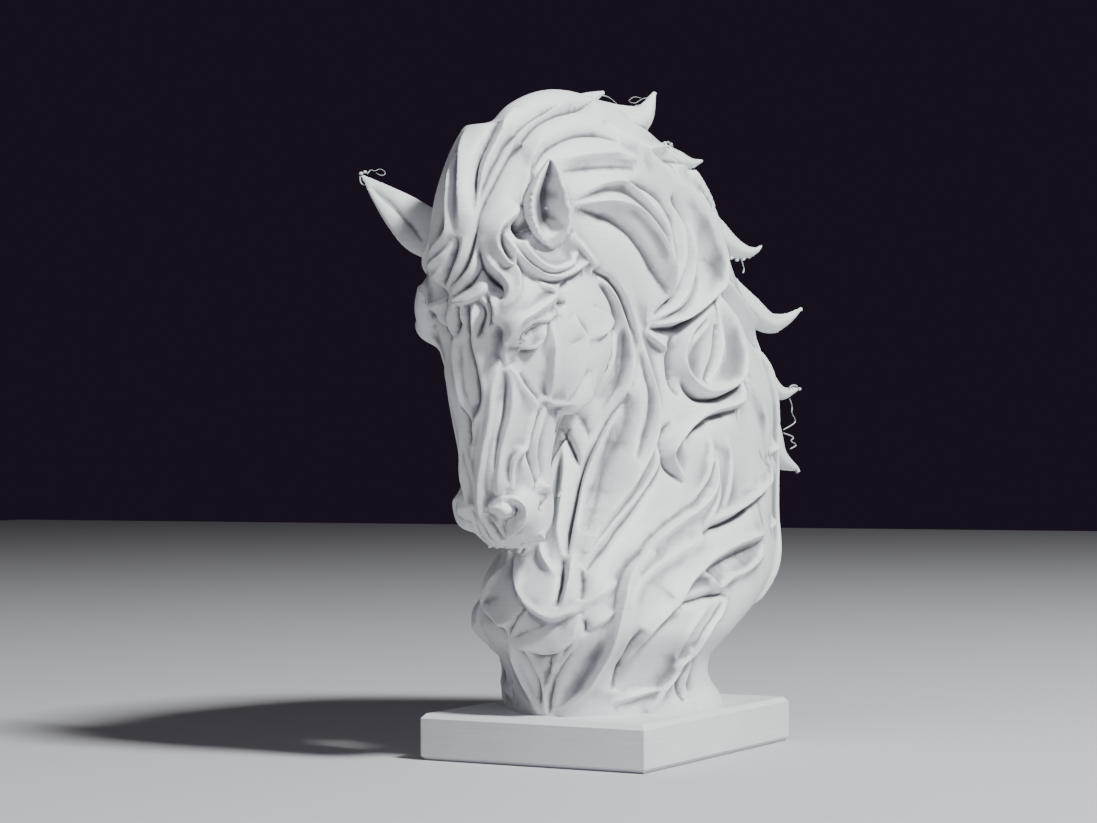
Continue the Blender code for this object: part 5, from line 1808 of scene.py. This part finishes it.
@dataclass(frozen=True)
class Hollows:
    """How deep each vertex lies in the carving: 0 in a crease, 1 on a crest; the material paints shade in the
    creases from it.

    Args:
        attribute: the name of the mesh attribute that holds it.
        scales: rows of smoothing rounds, depth in metres and weight.
        even: the level of a plain face.
        calm: the height in metres below which every face counts as plain.
    """

    attribute: str = "hollows"
    scales: tuple[Point, ...] = ((4, 0.00008, 0.20), (20, 0.00032, 0.19), (60, 0.0014, 0.06))
    even: float = 0.5
    calm: float = 0.0107

    def measure(self, mesh: bpy.types.Mesh) -> None:
        """Compares a mesh with smoother copies of itself and keeps the result on it.

        Args:
            mesh: the mesh.
        """
        spots, normals = vertex_rows(mesh)
        count = len(spots)
        edges = np.empty(len(mesh.edges) * 2, int)
        mesh.edges.foreach_get("vertices", edges)
        ends = edges.reshape(-1, 2)
        starts, stops = np.concatenate(ends.T), np.concatenate(ends.T[::-1])
        shares = np.maximum(np.bincount(starts, minlength=count), 1)
        smooth, level, turn = spots.copy(), np.full(count, self.even), 0
        for rounds, depth, weight in self.scales:
            while turn < rounds:
                pulled = [np.bincount(starts, smooth[stops, axis], count) / shares for axis in range(3)]
                smooth = (smooth + np.stack(pulled, axis=1)) / 2
                turn += 1
            level -= weight * np.tanh(((smooth - spots) * normals).sum(axis=1) / depth)
        level[spots[:, 2] < self.calm] = self.even
        layer = mesh.attributes.new(self.attribute, "FLOAT", "POINT")
        layer.data.foreach_set("value", level.astype(np.float32))


@dataclass
class Bust:
    """The whole print: figure and plinth as one piece.

    Args:
        figure: the head, neck and mane.
        plinth: the slab.
        stringing: the threads and droplets.
        finish: the plastic, with painted shade in its creases.
        hollows: how its creases are told from its crests, for the painted shade in them.
        crease: edges sharper than this angle stay sharp.
    """

    figure: Figure = field(default_factory=Figure)
    plinth: Plinth = field(default_factory=Plinth)
    stringing: Stringing = field(default_factory=lambda: Stringing(THREADS, DROPLETS))
    finish: PrintedPlastic = field(default_factory=PrintedPlastic)
    hollows: Hollows = field(default_factory=Hollows)
    crease: float = math.radians(38)

    def solid(self, place: Matrix) -> bpy.types.Object:
        """Unites figure and plinth.

        Args:
            place: brings the figure's grid to its place on the plinth.

        Returns:
            The two as one object.
        """
        mesh = self.figure.build()
        mesh.transform(place)
        tool = linked("figure", mesh)
        slab = linked("plinth", self.plinth.build())
        join = slab.modifiers.new("join", "BOOLEAN")
        join.operation = "UNION"
        join.solver = "EXACT"
        join.object = tool
        whole = settled_mesh(slab)
        bpy.data.objects.remove(tool)
        return linked("printed_bust", whole)

    def build(self) -> bpy.types.Object:
        """Builds the print and puts it in the place of its solid."""
        place = Matrix.Translation((0, 0, PLINTH_HEIGHT)) @ Matrix.Scale(UNIT, 4)
        bust = self.solid(place)
        fine = self.stringing.mesh()
        fine.transform(place)
        select_only(linked("stringing", fine), bust)
        bpy.ops.object.join()
        whole = bust.data
        # The crease depth that the material turns into painted shade
        self.hollows.measure(whole)
        whole.materials.clear()
        whole.materials.append(self.finish.material(self.hollows.attribute))
        whole.shade_smooth()
        whole.set_sharp_from_angle(angle=self.crease)
        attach(bust, "root")
        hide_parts(BUST_NODE)
        LOG.info("bust of %d faces", len(whole.polygons))
        return bust


@dataclass(frozen=True)
class Lamp:
    """A soft square light that points at the bust.

    Args:
        name: its name.
        place: where it hangs.
        size: its width.
        power: its power in watts.
        colour: its colour.
        target: the point that it is turned to.
    """

    name: str
    place: Point
    size: float
    power: float
    colour: Point
    target: Point = (0.0, 0.0, 0.08)

    def build(self) -> None:
        """Adds the light."""
        lamp = bpy.data.lights.new(self.name, "AREA")
        lamp.energy = self.power
        lamp.size = self.size
        lamp.color = self.colour
        holder = linked(self.name, lamp)
        holder.location = self.place
        aim = Vector(self.target) - Vector(self.place)
        holder.rotation_euler = aim.to_track_quat("-Z", "Y").to_euler()


@dataclass(frozen=True)
class Studio:
    """The plain floor and the soft light.

    Args:
        floor_size: the floor's width.
        floor_colour: its colour.
        floor_roughness: its roughness.
        lamps: the lights.
        room_colour: the colour of the light from all round.
        room_strength: its strength.
    """

    floor_size: float = 3.0
    floor_colour: Point = (0.50, 0.49, 0.52, 1.0)
    floor_roughness: float = 0.9
    lamps: tuple[Lamp, ...] = (
        Lamp("window", (0.69, -0.15, 0.81), 0.14, 23.5, (0.96, 1.0, 0.985)),
        Lamp("ceiling", (-0.10, -0.75, 1.10), 0.5, 1.8, (0.97, 0.97, 1.0)),
        Lamp("bounce", (0.45, -1.0, 0.35), 0.6, 0.8, (0.74, 0.58, 1.0)),
    )
    room_colour: Point = (0.62, 0.40, 0.80, 1.0)
    room_strength: float = 0.02

    def floor(self) -> None:
        """Adds the floor."""
        bpy.ops.object.select_all(action="DESELECT")
        bpy.ops.mesh.primitive_plane_add(size=self.floor_size, location=(0, 0, 0))
        floor = bpy.context.object
        floor.name = "floor"
        material = bpy.data.materials.new("floor_paper")
        material.use_nodes = True
        shader = material.node_tree.nodes["Principled BSDF"]
        shader.inputs["Base Color"].default_value = self.floor_colour
        shader.inputs["Roughness"].default_value = self.floor_roughness
        floor.data.materials.append(material)

    def build(self) -> None:
        """Adds floor, lights and surroundings."""
        self.floor()
        for lamp in self.lamps:
            lamp.build()
        world = bpy.data.worlds.new("room")
        bpy.context.scene.world = world
        world.use_nodes = True
        sky = world.node_tree.nodes["Background"]
        sky.inputs["Color"].default_value = self.room_colour
        sky.inputs["Strength"].default_value = self.room_strength


def main() -> None:
    """Builds the bust, the studio and the camera."""
    bust = Bust().build()
    LOG.info("built %s", bust.name)
    Studio().build()
    CAMERA.place()
    bpy.context.view_layer.update()


if __name__ == "__main__":
    logging.basicConfig(level=logging.INFO)
    main()
